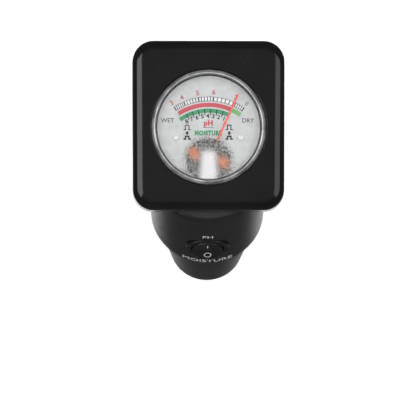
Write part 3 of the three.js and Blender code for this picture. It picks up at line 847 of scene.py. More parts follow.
def winding_tree():
    """Turns of wire side by side round a rectangular former."""
    tree, graph, given = new_tree(
        "coil_winding", ("Width", "Height", "Breadth", "Wire Radius"), ("Turns",))
    loop = graph.node(
        "GeometryNodeCurvePrimitiveQuadrilateral", None,
        {"Width": given["Width"], "Height": given["Height"]})
    loop = graph.node(
        "GeometryNodeFilletCurve", {"mode": "POLY"}, {"Curve": loop, "Count": 4, "Radius": 0.5})
    wire = graph.node(
        "GeometryNodeCurvePrimitiveCircle", None, {"Resolution": 8, "Radius": given["Wire Radius"]})
    turn = graph.node("GeometryNodeCurveToMesh", None, {"Curve": loop, "Profile Curve": wire})
    step = given["Breadth"] / (given["Turns"] - 1)
    line = graph.node(
        "GeometryNodeMeshLine", {"mode": "OFFSET"},
        {"Count": given["Turns"],
         "Start Location": graph.node("ShaderNodeCombineXYZ", None, {"Z": given["Breadth"] * -0.5}),
         "Offset": graph.node("ShaderNodeCombineXYZ", None, {"Z": step})})
    placed = graph.node("GeometryNodeInstanceOnPoints", None, {"Points": line, "Instance": turn})
    close_tree(graph, placed, given["Material"])
    return tree


def spiral_tree():
    """A flat spiral ribbon."""
    tree, graph, given = new_tree(
        "hairspring", ("Turns", "Inner", "Outer", "Thickness", "Ribbon"))
    line = graph.node(
        "GeometryNodeCurveSpiral", None,
        {"Resolution": 48, "Rotations": given["Turns"], "Start Radius": given["Inner"],
         "End Radius": given["Outer"], "Height": 0.0})
    section = graph.node(
        "GeometryNodeCurvePrimitiveQuadrilateral", None,
        {"Width": given["Thickness"], "Height": given["Ribbon"]})
    ribbon = graph.node(
        "GeometryNodeCurveToMesh", None,
        {"Curve": line, "Profile Curve": section, "Fill Caps": True})
    close_tree(graph, ribbon, given["Material"])
    return tree


def grow(name, tree, points=(), angles=(), **inputs):
    """Runs a tree on some points and returns the plain mesh that it makes, in millimetres."""
    base = bpy.data.meshes.new(name)
    base.from_pydata([tuple(p) for p in points], [], [])
    if angles:
        attribute = base.attributes.new("angle", "FLOAT", "POINT")
        attribute.data.foreach_set("value", list(angles))
    carrier = new_object(name, base)
    modifier = carrier.modifiers.new("nodes", "NODES")
    modifier.node_group = tree
    wanted = {key.replace("_", " ").title(): value for key, value in inputs.items()}
    for item in tree.interface.items_tree:
        if item.in_out == "INPUT" and item.name in wanted:
            modifier[item.identifier] = wanted[item.name]
    carrier.update_tag()
    mesh = evaluated_mesh(carrier)
    bpy.data.objects.remove(carrier)
    return mesh


# ---- head ---------------------------------------------------------------------------------------


HEAD_DEPTH = 20.0
HEAD_SPLIT = 12.0       # depth of the joint between the head's two halves
SPLIT_GAP = 0.3
HEAD_WALL = 2.4
FACE_THICKNESS = 2.6
HEAD_CORNER = (12, 10)  # steps in each corner's arc, and along each side
HEAD_SCREW_X = 21.8
HEAD_SCREW_Y = 25.0
TAB_HEIGHTS = (25.05, -25.55)
NECK_R = 16.0
NECK_BORE_R = 12.5
NECK_SOCKET_R = 14.0    # the neck's part inside the body


def head_outline(inset, depth):
    """The casing's outline at a depth, set in from its full size; it flares towards the back."""
    s = sizes()
    fillet = s.face_fillet / MM
    flare = s.head_flare / MM * min(1, max(0, depth) / (HEAD_DEPTH - fillet))
    width = s.face_width / MM + 2 * (flare - inset)
    height = s.face_height / MM + 2 * (flare - inset)
    radius = max(s.corner_radius / MM - inset, 2.2)
    return [(x, y, -depth) for x, y in outline(width, height, radius, *HEAD_CORNER)]


def inner_outline(depth):
    """The inside of the head's wall, the same at every depth."""
    s = sizes()
    width = s.face_width / MM - 2 * HEAD_WALL
    height = s.face_height / MM - 2 * HEAD_WALL
    return [(x, y, -depth) for x, y in outline(width, height, 5, *HEAD_CORNER)]


def towards(points, radius, depth, centre=(0.0, 0.0), stretch=1.0):
    """A circle or ellipse whose points lie in the same directions as the given ones."""
    made = []
    for x, y, _ in points:
        angle = math.atan2((y - centre[1]) / stretch, x - centre[0])
        made.append((
            centre[0] + radius * math.cos(angle),
            centre[1] + stretch * radius * math.sin(angle), -depth))
    return made


def between(a, b, share):
    """A ring part of the way from one ring to another."""
    return [tuple(Vector(p).lerp(Vector(q), share)) for p, q in zip(a, b)]


def fillet_rings(depth_of, count=8):
    """Rings round the rounded edge, from the flat face to the side wall."""
    fillet = sizes().face_fillet / MM
    rings = []
    for i in range(count + 1):
        angle = math.pi / 2 * i / count
        rings.append(head_outline(
            fillet * (1 - math.sin(angle)), depth_of(fillet * (1 - math.cos(angle)))))
    return rings


def tube(inner, outer, low, high):
    """A closed tube's rings, the last joined to the first by a repeat."""
    return turned([(inner, low), (outer, low), (outer, high), (inner, high), (inner, low)], 24)


def moved(rings, x, y, z=0.0):
    return [[(p[0] + x, p[1] + y, p[2] + z) for p in ring] for ring in rings]


def build_head_front():
    window = sizes().cover_radius / MM + 0.3
    flat = head_outline(sizes().face_fillet / MM, 0)

    def window_ring(radius, depth):
        return towards(flat, radius, depth, (0.0, DIAL_UP))

    edge = window_ring(window + 0.35, 0)
    rings = [
        window_ring(window, FACE_THICKNESS), window_ring(window, 0.35),
        window_ring(window + 0.1, 0.1), edge,
        between(edge, flat, 0.3), between(edge, flat, 0.7),
    ]
    rings += fillet_rings(lambda depth: depth)
    rings += [head_outline(0, d) for d in (5, 7, 9, 11, HEAD_SPLIT - 0.35)]
    rings += [head_outline(0.1, HEAD_SPLIT - 0.1), head_outline(0.35, HEAD_SPLIT)]
    rings += [inner_outline(HEAD_SPLIT), inner_outline(FACE_THICKNESS)]
    shell = Shell().skin(rings, wrap=True)
    for x in (-HEAD_SCREW_X, HEAD_SCREW_X):
        shell.skin(moved(tube(1.4, 2.9, -HEAD_SPLIT, -2.5), x, HEAD_SCREW_Y))
    for y in TAB_HEIGHTS:
        shell.skin(moved(tube(1.1, 2, -14.7, -2.5), 0, y))
    make_piece("head_front", shell, ["gloss_black"], HEAD, slot="gloss_black",
               replaces=["head_front"], sharp=50)


def build_head_back():
    tilt = math.acos(HEAD.col[2].to_3d().normalized().z)
    split = HEAD_SPLIT + SPLIT_GAP
    fillet = sizes().face_fillet / MM
    back = head_outline(fillet, HEAD_DEPTH)

    def bore(depth):
        return towards(
            back, NECK_BORE_R, depth, (0.0, -depth * math.tan(tilt)), 1 / math.cos(tilt))

    rings = [inner_outline(split), head_outline(0.35, split), head_outline(0.1, split + 0.1)]
    rings += [head_outline(0, d) for d in (split + 0.35, 14, 15.3)]
    rings += list(reversed(fillet_rings(lambda depth: HEAD_DEPTH - depth)))
    rings += [between(back, bore(HEAD_DEPTH), 0.4), bore(HEAD_DEPTH), bore(HEAD_DEPTH - HEAD_WALL)]
    rings += [inner_outline(HEAD_DEPTH - HEAD_WALL)]
    tool = turned([(0, -21), (2.6, -21), (2.6, -17.9), (0, -17.9)], 40)
    tools = [Shell().skin(moved(tool, x, HEAD_SCREW_Y)) for x in (-HEAD_SCREW_X, HEAD_SCREW_X)]
    casing = cut(Shell().skin(rings, wrap=True), tools, "gloss_black")
    finish_mesh("head_back", casing, HEAD, slot="gloss_black",
                replaces=["head_back"], sharp=40)
    build_neck(tilt)


def build_neck(tilt):
    """The neck under the head: an upright tube that flares into the tilted back."""
    face_z = HEAD.translation.z / MM
    foot = TOP_Z - 3.5
    low = TOP_Z + 0.3
    flare = 2.2

    def under_head(y, depth):
        return face_z - depth / math.cos(tilt) + y * math.tan(tilt)

    def ring(radius, height_at):
        return [(x, y, height_at(y)) for x, y, _ in circle(radius, 0, 128)]

    def flared(y, drop):
        room = min(1, (under_head(y, HEAD_DEPTH) - low) / 4)
        return max(under_head(y, HEAD_DEPTH - 0.05) - drop * room, low + 0.4)

    def inside(y):
        return max(under_head(y, HEAD_DEPTH - 0.6), low + 0.5)

    rings = [ring(NECK_SOCKET_R, lambda y: foot), ring(NECK_SOCKET_R, lambda y: low),
             ring(NECK_R - 0.4, lambda y: low), ring(NECK_R, lambda y: low + 0.35)]
    for i in range(9):
        angle = math.pi / 2 * i / 8
        drop = flare * (1 - math.sin(angle))
        rings.append(ring(
            NECK_R + flare * (1 - math.cos(angle)), lambda y, drop=drop: flared(y, drop)))
    rings += [ring(15, inside), ring(NECK_BORE_R, inside), ring(NECK_BORE_R, lambda y: foot)]
    make_piece("head_neck", Shell().skin(rings, wrap=True), ["gloss_black"], BODY,
               slot="gloss_black", sharp=50)


# ---- body ---------------------------------------------------------------------------------------


COLUMNS = 160
PATCH_COLUMNS = 14
PATCH_ROWS = 20
PATCH_HALF = 12.5
SEAT_R = 9.5            # the groove round the switch's flange
SEAT_OUT = 22.0         # the seat's floor, out from the body's axis
SWITCH_HOLE_R = 7.6
BODY_WALL = 2.2
RIM_BORE_R = 20.0
NECK_HOLE_R = 14.3


def wall_point(radius, x, z):
    """The point of a cylinder's front that lies behind x and z."""
    return (x, -math.sqrt(max(radius * radius - x * x, 0)), z)


def body_wall(radius, levels):
    """A cylinder's wall with a window left in front, as points, faces and the window's edge."""
    points, faces = [], []
    for z in levels:
        for i in range(COLUMNS):
            angle = 2 * math.pi * i / COLUMNS - math.pi / 2
            points.append((radius * math.cos(angle), radius * math.sin(angle), z))
    first = next(i for i, z in enumerate(levels) if z >= SWITCH_Z - PATCH_HALF - 1e-6)
    last = first + PATCH_ROWS

    def at(row, column):
        return row * COLUMNS + column % COLUMNS

    for row in range(len(levels) - 1):
        for column in range(COLUMNS):
            signed = (column + COLUMNS // 2) % COLUMNS - COLUMNS // 2
            in_window = first <= row < last and -PATCH_COLUMNS <= signed < PATCH_COLUMNS
            if not in_window:
                faces.append((at(row, column), at(row, column + 1),
                              at(row + 1, column + 1), at(row + 1, column)))
    edge = [at(first, c) for c in range(-PATCH_COLUMNS, PATCH_COLUMNS)]
    edge += [at(r, PATCH_COLUMNS) for r in range(first, last)]
    edge += [at(last, c) for c in range(PATCH_COLUMNS, -PATCH_COLUMNS, -1)]
    edge += [at(r, -PATCH_COLUMNS) for r in range(last, first, -1)]
    return points, faces, edge


def directions_of(edge_points):
    return [math.atan2(z - SWITCH_Z, x) for x, _, z in edge_points]


def patch_rings(radius, edge_points, seat_r):
    """Rings from the window's edge to a round hole, all lying on the cylinder."""
    rings = []
    for share in (0.25, 0.5, 0.75, 1.0):
        ring = []
        for (x, _, z), angle in zip(edge_points, directions_of(edge_points)):
            hole_x = seat_r * math.cos(angle)
            hole_z = SWITCH_Z + seat_r * math.sin(angle)
            ring.append(wall_point(
                radius, x + (hole_x - x) * share, z + (hole_z - z) * share))
        rings.append(ring)
    return rings


def switch_levels(low, high):
    """Heights of the wall's rows, with even ones beside the switch."""
    window = [SWITCH_Z + PATCH_HALF * (2 * i / PATCH_ROWS - 1) for i in range(PATCH_ROWS + 1)]
    above = [window[-1] + (high - window[-1]) * i / 6 for i in range(1, 7)]
    return [low, *window, *above]


def seat_ring(directions, radius, floor_y):
    """A ring of the seat, on the body's surface or on the seat's floor if that is deeper."""
    ring = []
    for angle in directions:
        x, z = radius * math.cos(angle), SWITCH_Z + radius * math.sin(angle)
        ring.append((x, max(wall_point(BODY_R, x, z)[1], floor_y), z))
    return ring


def build_upper_body():
    inner_r = BODY_R - BODY_WALL
    outer, outer_faces, edge = body_wall(BODY_R, switch_levels(RIM_Z + 0.7, TOP_Z - 0.9))
    outer_edge = [outer[i] for i in edge]
    inner, inner_faces, edge = body_wall(inner_r, switch_levels(RIM_Z + 1.2, TOP_Z - 2.5))
    inner_edge = [inner[i] for i in edge]
    shell = Shell().add(outer, outer_faces).add(inner, inner_faces)
    seat = [
        seat_ring(directions_of(outer_edge), radius, floor_y) for radius, floor_y in (
            (SEAT_R + 0.05, -BODY_R + 0.12), (SEAT_R, -SEAT_OUT), (8.3, -SEAT_OUT),
            (SWITCH_HOLE_R + 0.1, -SEAT_OUT), (SWITCH_HOLE_R, -SEAT_OUT + 0.15))]
    shell.skin([
        outer_edge, *patch_rings(BODY_R, outer_edge, SEAT_R + 0.25), *seat,
        *reversed(patch_rings(inner_r, inner_edge, SWITCH_HOLE_R)), inner_edge])
    rim = [(BODY_R, RIM_Z + 0.7), (BODY_R - 0.06, RIM_Z + 0.4), (BODY_R - 0.2, RIM_Z + 0.15),
           (BODY_R - 0.5, RIM_Z), (RIM_BORE_R + 0.2, RIM_Z), (RIM_BORE_R, RIM_Z + 0.2),
           (RIM_BORE_R, RIM_Z + 1.2), (inner_r, RIM_Z + 1.2)]
    lid = [(BODY_R, TOP_Z - 0.9), (BODY_R - 0.1, TOP_Z - 0.5), (BODY_R - 0.27, TOP_Z - 0.27),
           (BODY_R - 0.5, TOP_Z - 0.08), (BODY_R - 0.9, TOP_Z)]
    # the flat ledge round the neck takes finish number 1, the paler black that is painted light
    ledge = [lid[-1], (17, TOP_Z)]
    hole = [ledge[-1], (NECK_HOLE_R + 0.1, TOP_Z), (NECK_HOLE_R, TOP_Z - 0.1),
            (NECK_HOLE_R, TOP_Z - 2.5), (inner_r, TOP_Z - 2.5)]
    for profile, number in ((rim, 0), (lid, 0), (ledge, 1), (hole, 0)):
        shell.skin(front_first(turned(profile, COLUMNS)), number=number)
    make_piece("upper_body", shell, ["satin_black", "ledge_painted_light"], BODY, slot="satin_black",
               replaces=["upper_body"], sharp=50)


def front_first(rings):
    """Turns rings so that their first point faces the front, as the wall's columns do."""
    return [[(y, -x, z) for x, y, z in ring] for ring in rings]


def nose(radius, centre_r, centre_z, sweep):
    """Points of an arc that starts at its lowest point and turns outwards by sweep degrees."""
    angles = [math.radians(-90 + sweep * i / 7) for i in range(1, 8)]
    return [(centre_r + radius * math.cos(a), centre_z + radius * math.sin(a)) for a in angles]


LOWER_HOLE_R = 11.3
SPIGOT_R = 19.5         # the part inside the upper body
SPIGOT_TOP = 46.7
SPIGOT_BORE_R = 17.4
SEAL_GROOVE_R = 18.1
SEAL_GROOVE = (42.6, 44.2)


def build_lower_body():
    end = 1.5
    groove_low, groove_high = SEAL_GROOVE
    profile = [(LOWER_HOLE_R, 0.25), (LOWER_HOLE_R + 0.25, 0), (LOWER_END_R - end, 0)]
    profile += nose(end, LOWER_END_R - end, end, 83)
    side = [(LOWER_END_R, end), (LOWER_TOP_R, LOWER_TOP_Z)]
    profile += [tuple(Vector(side[0]).lerp(Vector(side[1]), t)) for t in (0.25, 0.5, 0.75)]
    profile += soften([
        (LOWER_TOP_R - 0.02, LOWER_TOP_Z - 0.4), (LOWER_TOP_R, LOWER_TOP_Z),
        (SPIGOT_R, LOWER_TOP_Z), (SPIGOT_R, groove_low), (SEAL_GROOVE_R, groove_low),
        (SEAL_GROOVE_R, groove_high), (SPIGOT_R, groove_high), (SPIGOT_R, SPIGOT_TOP),
        (SPIGOT_BORE_R, SPIGOT_TOP), (SPIGOT_BORE_R, 41.2), (14.3, 2), (LOWER_HOLE_R, 2)], 0.2, 2)
    turned_piece("lower_body", profile, "satin_black", BODY, 144, True, slot="satin_black",
                 replaces=["lower_body"], sharp=50)


# ---- dial ---------------------------------------------------------------------------------------


COVER_WALL = 1.4
COVER_FLANGE_R = 22.2
FROST_R = 9.6
PIVOT_DROP = PIVOT_UP - DIAL_UP     # from the dial's centre to the pivot
PLATE_OPENING_R = 7.6


def build_cover():
    outer = sizes().cover_radius / MM
    inner = outer - COVER_WALL
    flange = COVER_FLANGE_R
    rim = soften([
        (inner, 0.62), (inner + 0.25, 0.8), (outer - 0.75, 0.8), (outer, 0.05), (outer, -2.9),
        (flange, -2.9), (flange, -4.4), (outer, -4.4), (outer, -9.5), (inner, -9.5)],
        0.14, 3, True)
    # the cover's clear wall wears painted glow: grey with pale patches
    wall = turned_piece("cover_rim", rim, "rim", DIAL, 144, True, slot="clear_cover",
                        replaces=["meter_cover"], sharp=60)
    wall.visible_shadow = False
    # painted shade: a thin grey ring inside the wall's top, for the dark line where the wall's inner
    # edge meets the dial; it wears the printing's grey ink
    line = soften([(inner - 0.22, 0.2), (inner - 0.02, 0.2), (inner - 0.02, 0.66),
                   (inner - 0.22, 0.6)], 0.05, 2, True)
    turned_piece("cover_painted_shade_ring", line, "grey_ink", DIAL, 144, True, slot="clear_cover")
    # painted highlight: a thin near-white bead on the wall's top, for the bright line along the
    # cover's edge
    painted_highlight_bead = [(inner + 0.34 + x, 0.74 + y) for x, y, _ in circle(0.15, 0, 8)]
    turned_piece("cover_painted_highlight_bead", painted_highlight_bead, "painted_highlight_bead", DIAL, 144, True, slot="clear_cover", sharp=60)
    glass = inner - 0.26
    window = soften([(0, -0.35), (glass, -0.35), (glass, 0.55), (0, 0.55)], 0.15, 3)
    turned_piece("cover_window", window, "clear", DIAL, 144, slot="clear_cover", sharp=60)
    build_frost(glass - 0.1)


def build_frost(reach):
    """The textured disc over the movement, held inside the window's reach."""
    frost = soften([(0, -0.72), (FROST_R, -0.72), (FROST_R, -0.46), (0, -0.46)], 0.1, 2)
    rings = turned(frost, 96)
    for ring in rings:
        for i, (x, y, z) in enumerate(ring):
            far = math.hypot(x, y + PIVOT_DROP)
            if far > reach:
                ring[i] = (x * reach / far, (y + PIVOT_DROP) * reach / far - PIVOT_DROP, z)
    make_piece("cover_frost", Shell().skin(rings), ["frost"], PIVOT, slot="clear_cover", sharp=60)


def arc_between(radius, centre_y, end_x, end_y):
    """An arc over the top, from the right end given to its mirror image on the left."""
    start = math.atan2(end_y - centre_y, end_x)
    angles = [start + (math.pi - 2 * start) * i / 120 for i in range(121)]
    return [(radius * math.cos(a), centre_y + radius * math.sin(a)) for a in angles]


def build_plate():
    """The printed plate, with the opening for the movement cut through its lower edge."""
    radius = sizes().plate_radius / MM
    hole = PLATE_OPENING_R
    cross_y = (radius * radius - hole * hole + PIVOT_DROP * PIVOT_DROP) / (2 * PIVOT_DROP)
    cross_x = math.sqrt(radius * radius - cross_y * cross_y)
    outer = arc_between(radius, 0, cross_x, cross_y)
    inner = arc_between(hole, PIVOT_DROP, cross_x, cross_y)
    points = [(x, y, z) for z in (PLATE_TOP, PLATE_TOP - 0.5) for x, y in outer + inner]
    count = len(outer)
    faces = [(0, count, 3 * count, 2 * count),
             (count - 1, 2 * count - 1, 4 * count - 1, 3 * count - 1)]
    for i in range(count - 1):
        for a, b in ((0, count), (2 * count, 3 * count), (0, 2 * count), (count, 3 * count)):
            faces.append((a + i, a + i + 1, b + i + 1, b + i))
    make_piece("scale_plate", Shell().add(points, faces), ["plate"], DIAL, slot="dial_silver",
               replaces=["scale_plate"])


def polar(radius, degrees, z=0.0):
    angle = math.radians(degrees)
    return (radius * math.sin(angle), radius * math.cos(angle), z)


def arc_band(shell, inner, outer, start, end, number, steps=60):
    """A printed band round the pivot, from one angle to another, in degrees from upright."""
    low, high = PLATE_TOP, PLATE_TOP + INK
    base = len(shell.points)
    for i in range(steps + 1):
        degrees = start + (end - start) * i / steps
        shell.points += [Vector(polar(r, degrees, z)) for r, z in
                         ((inner, low), (outer, low), (outer, high), (inner, high))]
    for i in range(steps):
        a, b = base + 4 * i, base + 4 * (i + 1)
        for k in range(4):
            m = (k + 1) % 4
            shell.add_face((a + k, a + m, b + m, b + k), number)
    for end_ring in (base, base + 4 * steps):
        shell.add_face([end_ring + k for k in range(4)], number)


CAPITAL_SHARE = 0.72     # a capital letter's height over the font's size


def lettering(text, height, weight=0.0, spacing=1.0):
    """A word as points and faces, centred, with capital letters of the given height."""
    curve = bpy.data.curves.new("legend", "FONT")
    curve.body = text
    curve.size = height / CAPITAL_SHARE
    curve.align_x = "CENTER"
    curve.align_y = "CENTER"
    curve.extrude = INK / 2
    curve.offset = weight
    curve.space_character = spacing
    curve.resolution_u = 3
    holder = new_object("legend", curve)
    mesh = evaluated_mesh(holder)
    points = [v.co.copy() for v in mesh.vertices]
    faces = [tuple(p.vertices) for p in mesh.polygons]
    bpy.data.objects.remove(holder)
    bpy.data.curves.remove(curve)
    bpy.data.meshes.remove(mesh)
    middle_x = (min(p.x for p in points) + max(p.x for p in points)) / 2
    middle_y = (min(p.y for p in points) + max(p.y for p in points)) / 2
    return [Vector((p.x - middle_x, p.y - middle_y, p.z)) for p in points], faces


def write(shell, text, height, at, number, turn=0.0, width=1.0, weight=0.0, spacing=1.0):
    """Prints a word on the plate; turn is in degrees, to the right."""
    points, faces = lettering(text, height, weight, spacing)
    place = Matrix.Translation((at[0], at[1], PLATE_TOP + INK / 2))
    place = place @ Matrix.Rotation(math.radians(-turn), 4, "Z")
    place = place @ Matrix.Diagonal((width, 1, 1, 1))
    shell.add([place @ p for p in points], faces, number)


def stroke(shell, points, width, number):
    """A printed line through the points."""
    for start, end in zip(points, points[1:]):
        a, b = Vector(start), Vector(end)
        along = (b - a).normalized() * width / 2
        across = Vector((-along.y, along.x))
        corners = [a - along - across, b + along - across, b + along + across, a - along + across]
        shell.skin([[(p.x, p.y, z) for p in corners] for z in (PLATE_TOP, PLATE_TOP + INK)],
                   number=number)
        shell.close_ends(4, number)


PH_DEGREES = {3: -32.9, 4: -23.1, 5: -9.4, 6: 4.4, 7: 23.4, 8: 33.9}
MOISTURE_FIRST = -29.3      # degrees from upright to the digit 8
MOISTURE_STEP = 7.06
LADDER = (21.3, 22.75)      # inner and outer radii of the printed bands
PH_BAND = (19.1, 20.65)
MOISTURE_BAND = (17.05, 18.55)
LADDER_ENDS = (-33.2, 33.9)
NEUTRAL = 23.4              # degrees from upright to pH 7


def pictogram(shell, x, round_top):
    """The tall hat, diamond and short hat printed each side of the legend."""
    tall = [(-1.1, 11.0), (-0.6, 11.0), (-0.7, 12.2), (-0.4, 12.6), (0.4, 12.6), (0.7, 12.2),
            (0.6, 11.0), (1.1, 11.0)]
    if not round_top:
        tall[2:6] = [(-0.65, 12.6), (0.65, 12.6)]
    short = [(-1.1, 7.6), (-0.6, 7.6), (-0.6, 8.6), (0.6, 8.6), (0.6, 7.6), (1.1, 7.6)]
    diamond = [(0, 10.1), (0.25, 9.75), (0, 9.4), (-0.25, 9.75), (0, 10.1)]
    for outline_points, width in ((tall, 0.36), (short, 0.54), (diamond, 0.55)):
        stroke(shell, [(x + px, py) for px, py in outline_points], width, 0)


def build_printing():
    shell = Shell()
    black, red, green, lime, grey, white = range(6)
    arc_band(shell, *LADDER, *LADDER_ENDS, white)
    for radius in LADDER:
        arc_band(shell, radius - 0.1, radius + 0.1, *LADDER_ENDS, black)
    arc_band(shell, *PH_BAND, -32.9, NEUTRAL, red)
    arc_band(shell, *PH_BAND, NEUTRAL + 1.6, 35.0, lime, 16)
    arc_band(shell, *MOISTURE_BAND, -35.2, 24.6, green)
    for digit, degrees in PH_DEGREES.items():
        write(shell, str(digit), 1.75, polar(24.5, degrees), lime if digit == 8 else red, degrees,
              weight=0.05)
    for i in range(8):
        degrees = MOISTURE_FIRST + MOISTURE_STEP * i
        write(shell, str(8 - i), 1.55, polar(15.95, degrees), black, degrees, weight=0.06)
    write(shell, "WET", 1.6, (-14.8, 14.3), grey, weight=0.04)
    write(shell, "DRY", 1.6, (14.2, 14.3), grey, weight=0.04)
    write(shell, "pH", 1.8, (-0.1, 13.1), red, width=1.05, weight=0.14, spacing=1.08)
    write(shell, "MOISTURE", 1.55, (-0.1, 9.8), green, width=0.84, weight=0.16,
          spacing=1.18)
    stroke(shell, [(-1.9, 11.75), (1.8, 11.75)], 0.16, black)
    pictogram(shell, -7.7, True)
    pictogram(shell, 7.4, False)
    finishes = ["black_ink", "red_ink", "green_ink", "lime_ink", "grey_ink", "white_ink"]
    make_piece("scale_printing", shell, finishes, PIVOT, slot="dial_silver")


def ladder_degrees():
    """Fifths of pH between the printed whole numbers."""
    numbers = sorted(PH_DEGREES)
    made = []
    for low, high in zip(numbers, numbers[1:]):
        start, end = PH_DEGREES[low], PH_DEGREES[high]
        made += [start + (end - start) * i / 5 for i in range(5)]
    return made + [PH_DEGREES[numbers[-1]]]


def build_ticks():
    tree = bars_tree()
    rows = {
        "scale_ticks_fine": (ladder_degrees(), 22.03, 1.45, 0.3),
        "scale_ticks_whole": (list(PH_DEGREES.values()), 22.0, 1.6, 0.46),
        "moisture_ticks": (
            [MOISTURE_FIRST + MOISTURE_STEP * (i + 0.5) for i in range(7)], 17.3, 2.3, 0.36),
    }
    for name, (degrees, radius, size, width) in rows.items():
        points = [polar(radius, d, PLATE_TOP + INK) for d in degrees]
        mesh = grow(name, tree, points, [math.radians(-d) for d in degrees], width=width,
                    length=size, height=2.5 * INK, material=finish("black_ink"))
        finish_mesh(name, mesh, PIVOT, slot="dial_silver")


def build_plate_screws():
    """Two screws with domed heads."""
    top = PLATE_TOP + 0.3
    dome = [(0, -6.6), (0.6, -6.6), (0.6, top - 0.2), (0.62, top), (1.2, top),
            (1.15, top + 0.12), (0.98, top + 0.35), (0.7, top + 0.55), (0.35, top + 0.67),
            (0, top + 0.7)]
    for side, x in (("left", -11.6), ("right", 11.6)):
        name = f"scale_screw_{side}"
        make_piece(name, Shell().skin(moved(turned(dome, 40), x, 8.1)), ["silvered_steel"], PIVOT,
                   slot="steel", replaces=[name], sharp=50)


# ---- needle and movement ------------------------------------------------------------------------


NEEDLE_HEIGHTS = (-3.05, -2.55)     # out of the casing's face, as are the next two
COIL_HEIGHTS = (-10.3, -4.3)
HAIRSPRING_HEIGHTS = {"hairspring_upper": -3.78, "hairspring_lower": -10.8}


def build_needle():
    length_mm = sizes().needle_length / MM
    low, high = NEEDLE_HEIGHTS
    middle = (low + high) / 2

    def section(y, half, rise):
        return [(-half, y, middle - 0.2), (half, y, middle - 0.2), (half, y, middle + 0.05),
                (0, y, middle + rise), (-half, y, middle + 0.05)]

    stations = [(-3.9, 0.42, 0.2), (-1.2, 0.5, 0.22), (1.2, 0.46, 0.24), (6, 0.36, 0.24),
                (18, 0.31, 0.22), (length_mm - 1, 0.27, 0.2), (length_mm, 0.16, 0.12)]
    rings = [section(*s) for s in stations]
    ends = [[(0, stations[0][0], middle)], [(0, stations[-1][0], middle)]]
    shell = Shell().skin([ends[0], *rings, ends[1]])
    hub = soften([(0.65, low), (1.5, low), (1.5, high), (0.65, high)], 0.12, 2, True)
    shell.skin(turned(hub, 48), wrap=True)
    make_piece("pointer", shell, ["needle"], NEEDLE, body="needle", slot="needle_red",
               replaces=["pointer"], sharp=24)
    weight = Shell().block((-1, -4.8, low - 0.8), (1, -3.2, low - 0.3), 0.12)
    make_piece("balance_weight", weight, ["turned_brass"], NEEDLE, body="needle", slot="brass",
               replaces=["balance_weight"])


def build_coil():
    """The coil's former, and the turns of wire wound on it."""
    low, high = COIL_HEIGHTS
    tall = high - low
    half, breadth, side = 4.7, 2.2, 0.8
    loops = []
    for inset, z in ((0.12, -breadth / 2), (0.0, 0.12 - breadth / 2), (0.0, breadth / 2 - 0.12),
                     (0.12, breadth / 2)):
        loops.append([(x, y, z) for x, y in outline(
            2 * (half - 0.22 - inset), tall - 0.44 - 2 * inset, 0.5, 6, 4)])
    for z in (breadth / 2, -breadth / 2):
        loops.append([(x, y, z) for x, y in outline(2 * (half - side), tall - 1.4, 0.3, 6, 4)])
    upright = NEEDLE @ Matrix.Translation((0, 0, (low + high) / 2))
    upright = upright @ Matrix.Rotation(math.pi / 2, 4, "X")
    make_piece("moving_coil", Shell().skin(loops, wrap=True), ["white"], upright, body="needle",
               slot="copper", replaces=["moving_coil"])
    mesh = grow("coil_winding", winding_tree(), width=2 * (half - 0.14), height=tall - 0.28,
                breadth=breadth - 0.3, turns=13, wire_radius=0.125, material=finish("copper"))
    finish_mesh("coil_winding", mesh, upright, body="needle", slot="copper", sharp=60)


def build_staffs():
    """The two pointed pins that the coil turns on."""
    upper = [(0, -4.3), (0.34, -4.3), (0.34, -3.0), (0.2, -2.7), (0.04, -2.4), (0, -2.4)]
    lower = [(0, -11.1), (0.04, -11.1), (0.2, -10.8), (0.34, -10.6), (0.34, -10.3), (0, -10.3)]
    for name, profile in (("staff_upper", upper), ("staff_lower", lower)):
        turned_piece(name, profile, "bright_steel", NEEDLE, 24, body="needle", slot="steel",
                     replaces=[name])


def build_hairsprings():
    """A flat spiral spring above the coil and another below it."""
    tree = spiral_tree()
    for name, height in HAIRSPRING_HEIGHTS.items():
        mesh = grow(name, tree, turns=4.0, inner=0.75, outer=2.9, thickness=0.09, ribbon=0.3,
                    material=finish("copper"))
        finish_mesh(name, mesh, PIVOT @ Matrix.Translation((0, 0, height)), slot="copper",
                    replaces=[name])


def build_movement():
    yoke = soften([(5.4, -10), (6.6, -10), (6.6, -4.6), (5.4, -4.6)], 0.25, 3, True)
    shell = Shell().skin(turned(yoke, 96), wrap=True)
    for low, high in ((-5.7, -3.9), (3.9, 5.7)):
        shell.block((-1, low, -8.5), (1, high, -6), 0.12)
    make_piece("meter_yoke", shell, ["iron"], PIVOT, slot="dark_iron", replaces=["meter_yoke"])
    core = soften([(0, -9.3), (3.6, -9.3), (3.6, -5.3), (0, -5.3)], 0.4, 4)
    turned_piece("meter_core", core, "bright_steel", PIVOT, 80, slot="steel",
                 replaces=["meter_core"])
    bridge = Shell().block((-2.9, -6.4, -1.5), (2.9, 3.2, -0.9), 0.2)
    bridge.block((-2.9, -6.4, -4.3), (2.9, -5.7, -1.4), 0.15)
    tool = Shell().skin(turned([(0, -3), (1.1, -3), (1.1, 0), (0, 0)], 40))
    finish_mesh("upper_bridge", cut(bridge, [tool], "white"), PIVOT, slot="white_plastic",
                replaces=["upper_bridge"])
    jewel = [(0, -2.1), (0.8, -2.1), (0.8, -0.8), (0.7, -0.7), (0.28, -0.7), (0.2, -0.85),
             (0, -0.85)]
    turned_piece("jewel_upper", jewel, "silvered_steel", PIVOT, 40, slot="brass",
                 replaces=["jewel_upper"])


# ---- switch -------------------------------------------------------------------------------------


BUTTON_HOLE_R = 6.6
FLANGE_R = 8.6
FLANGE_BACK = 22.3
BARREL_R = 7.3
BARREL_BACK = 10.3


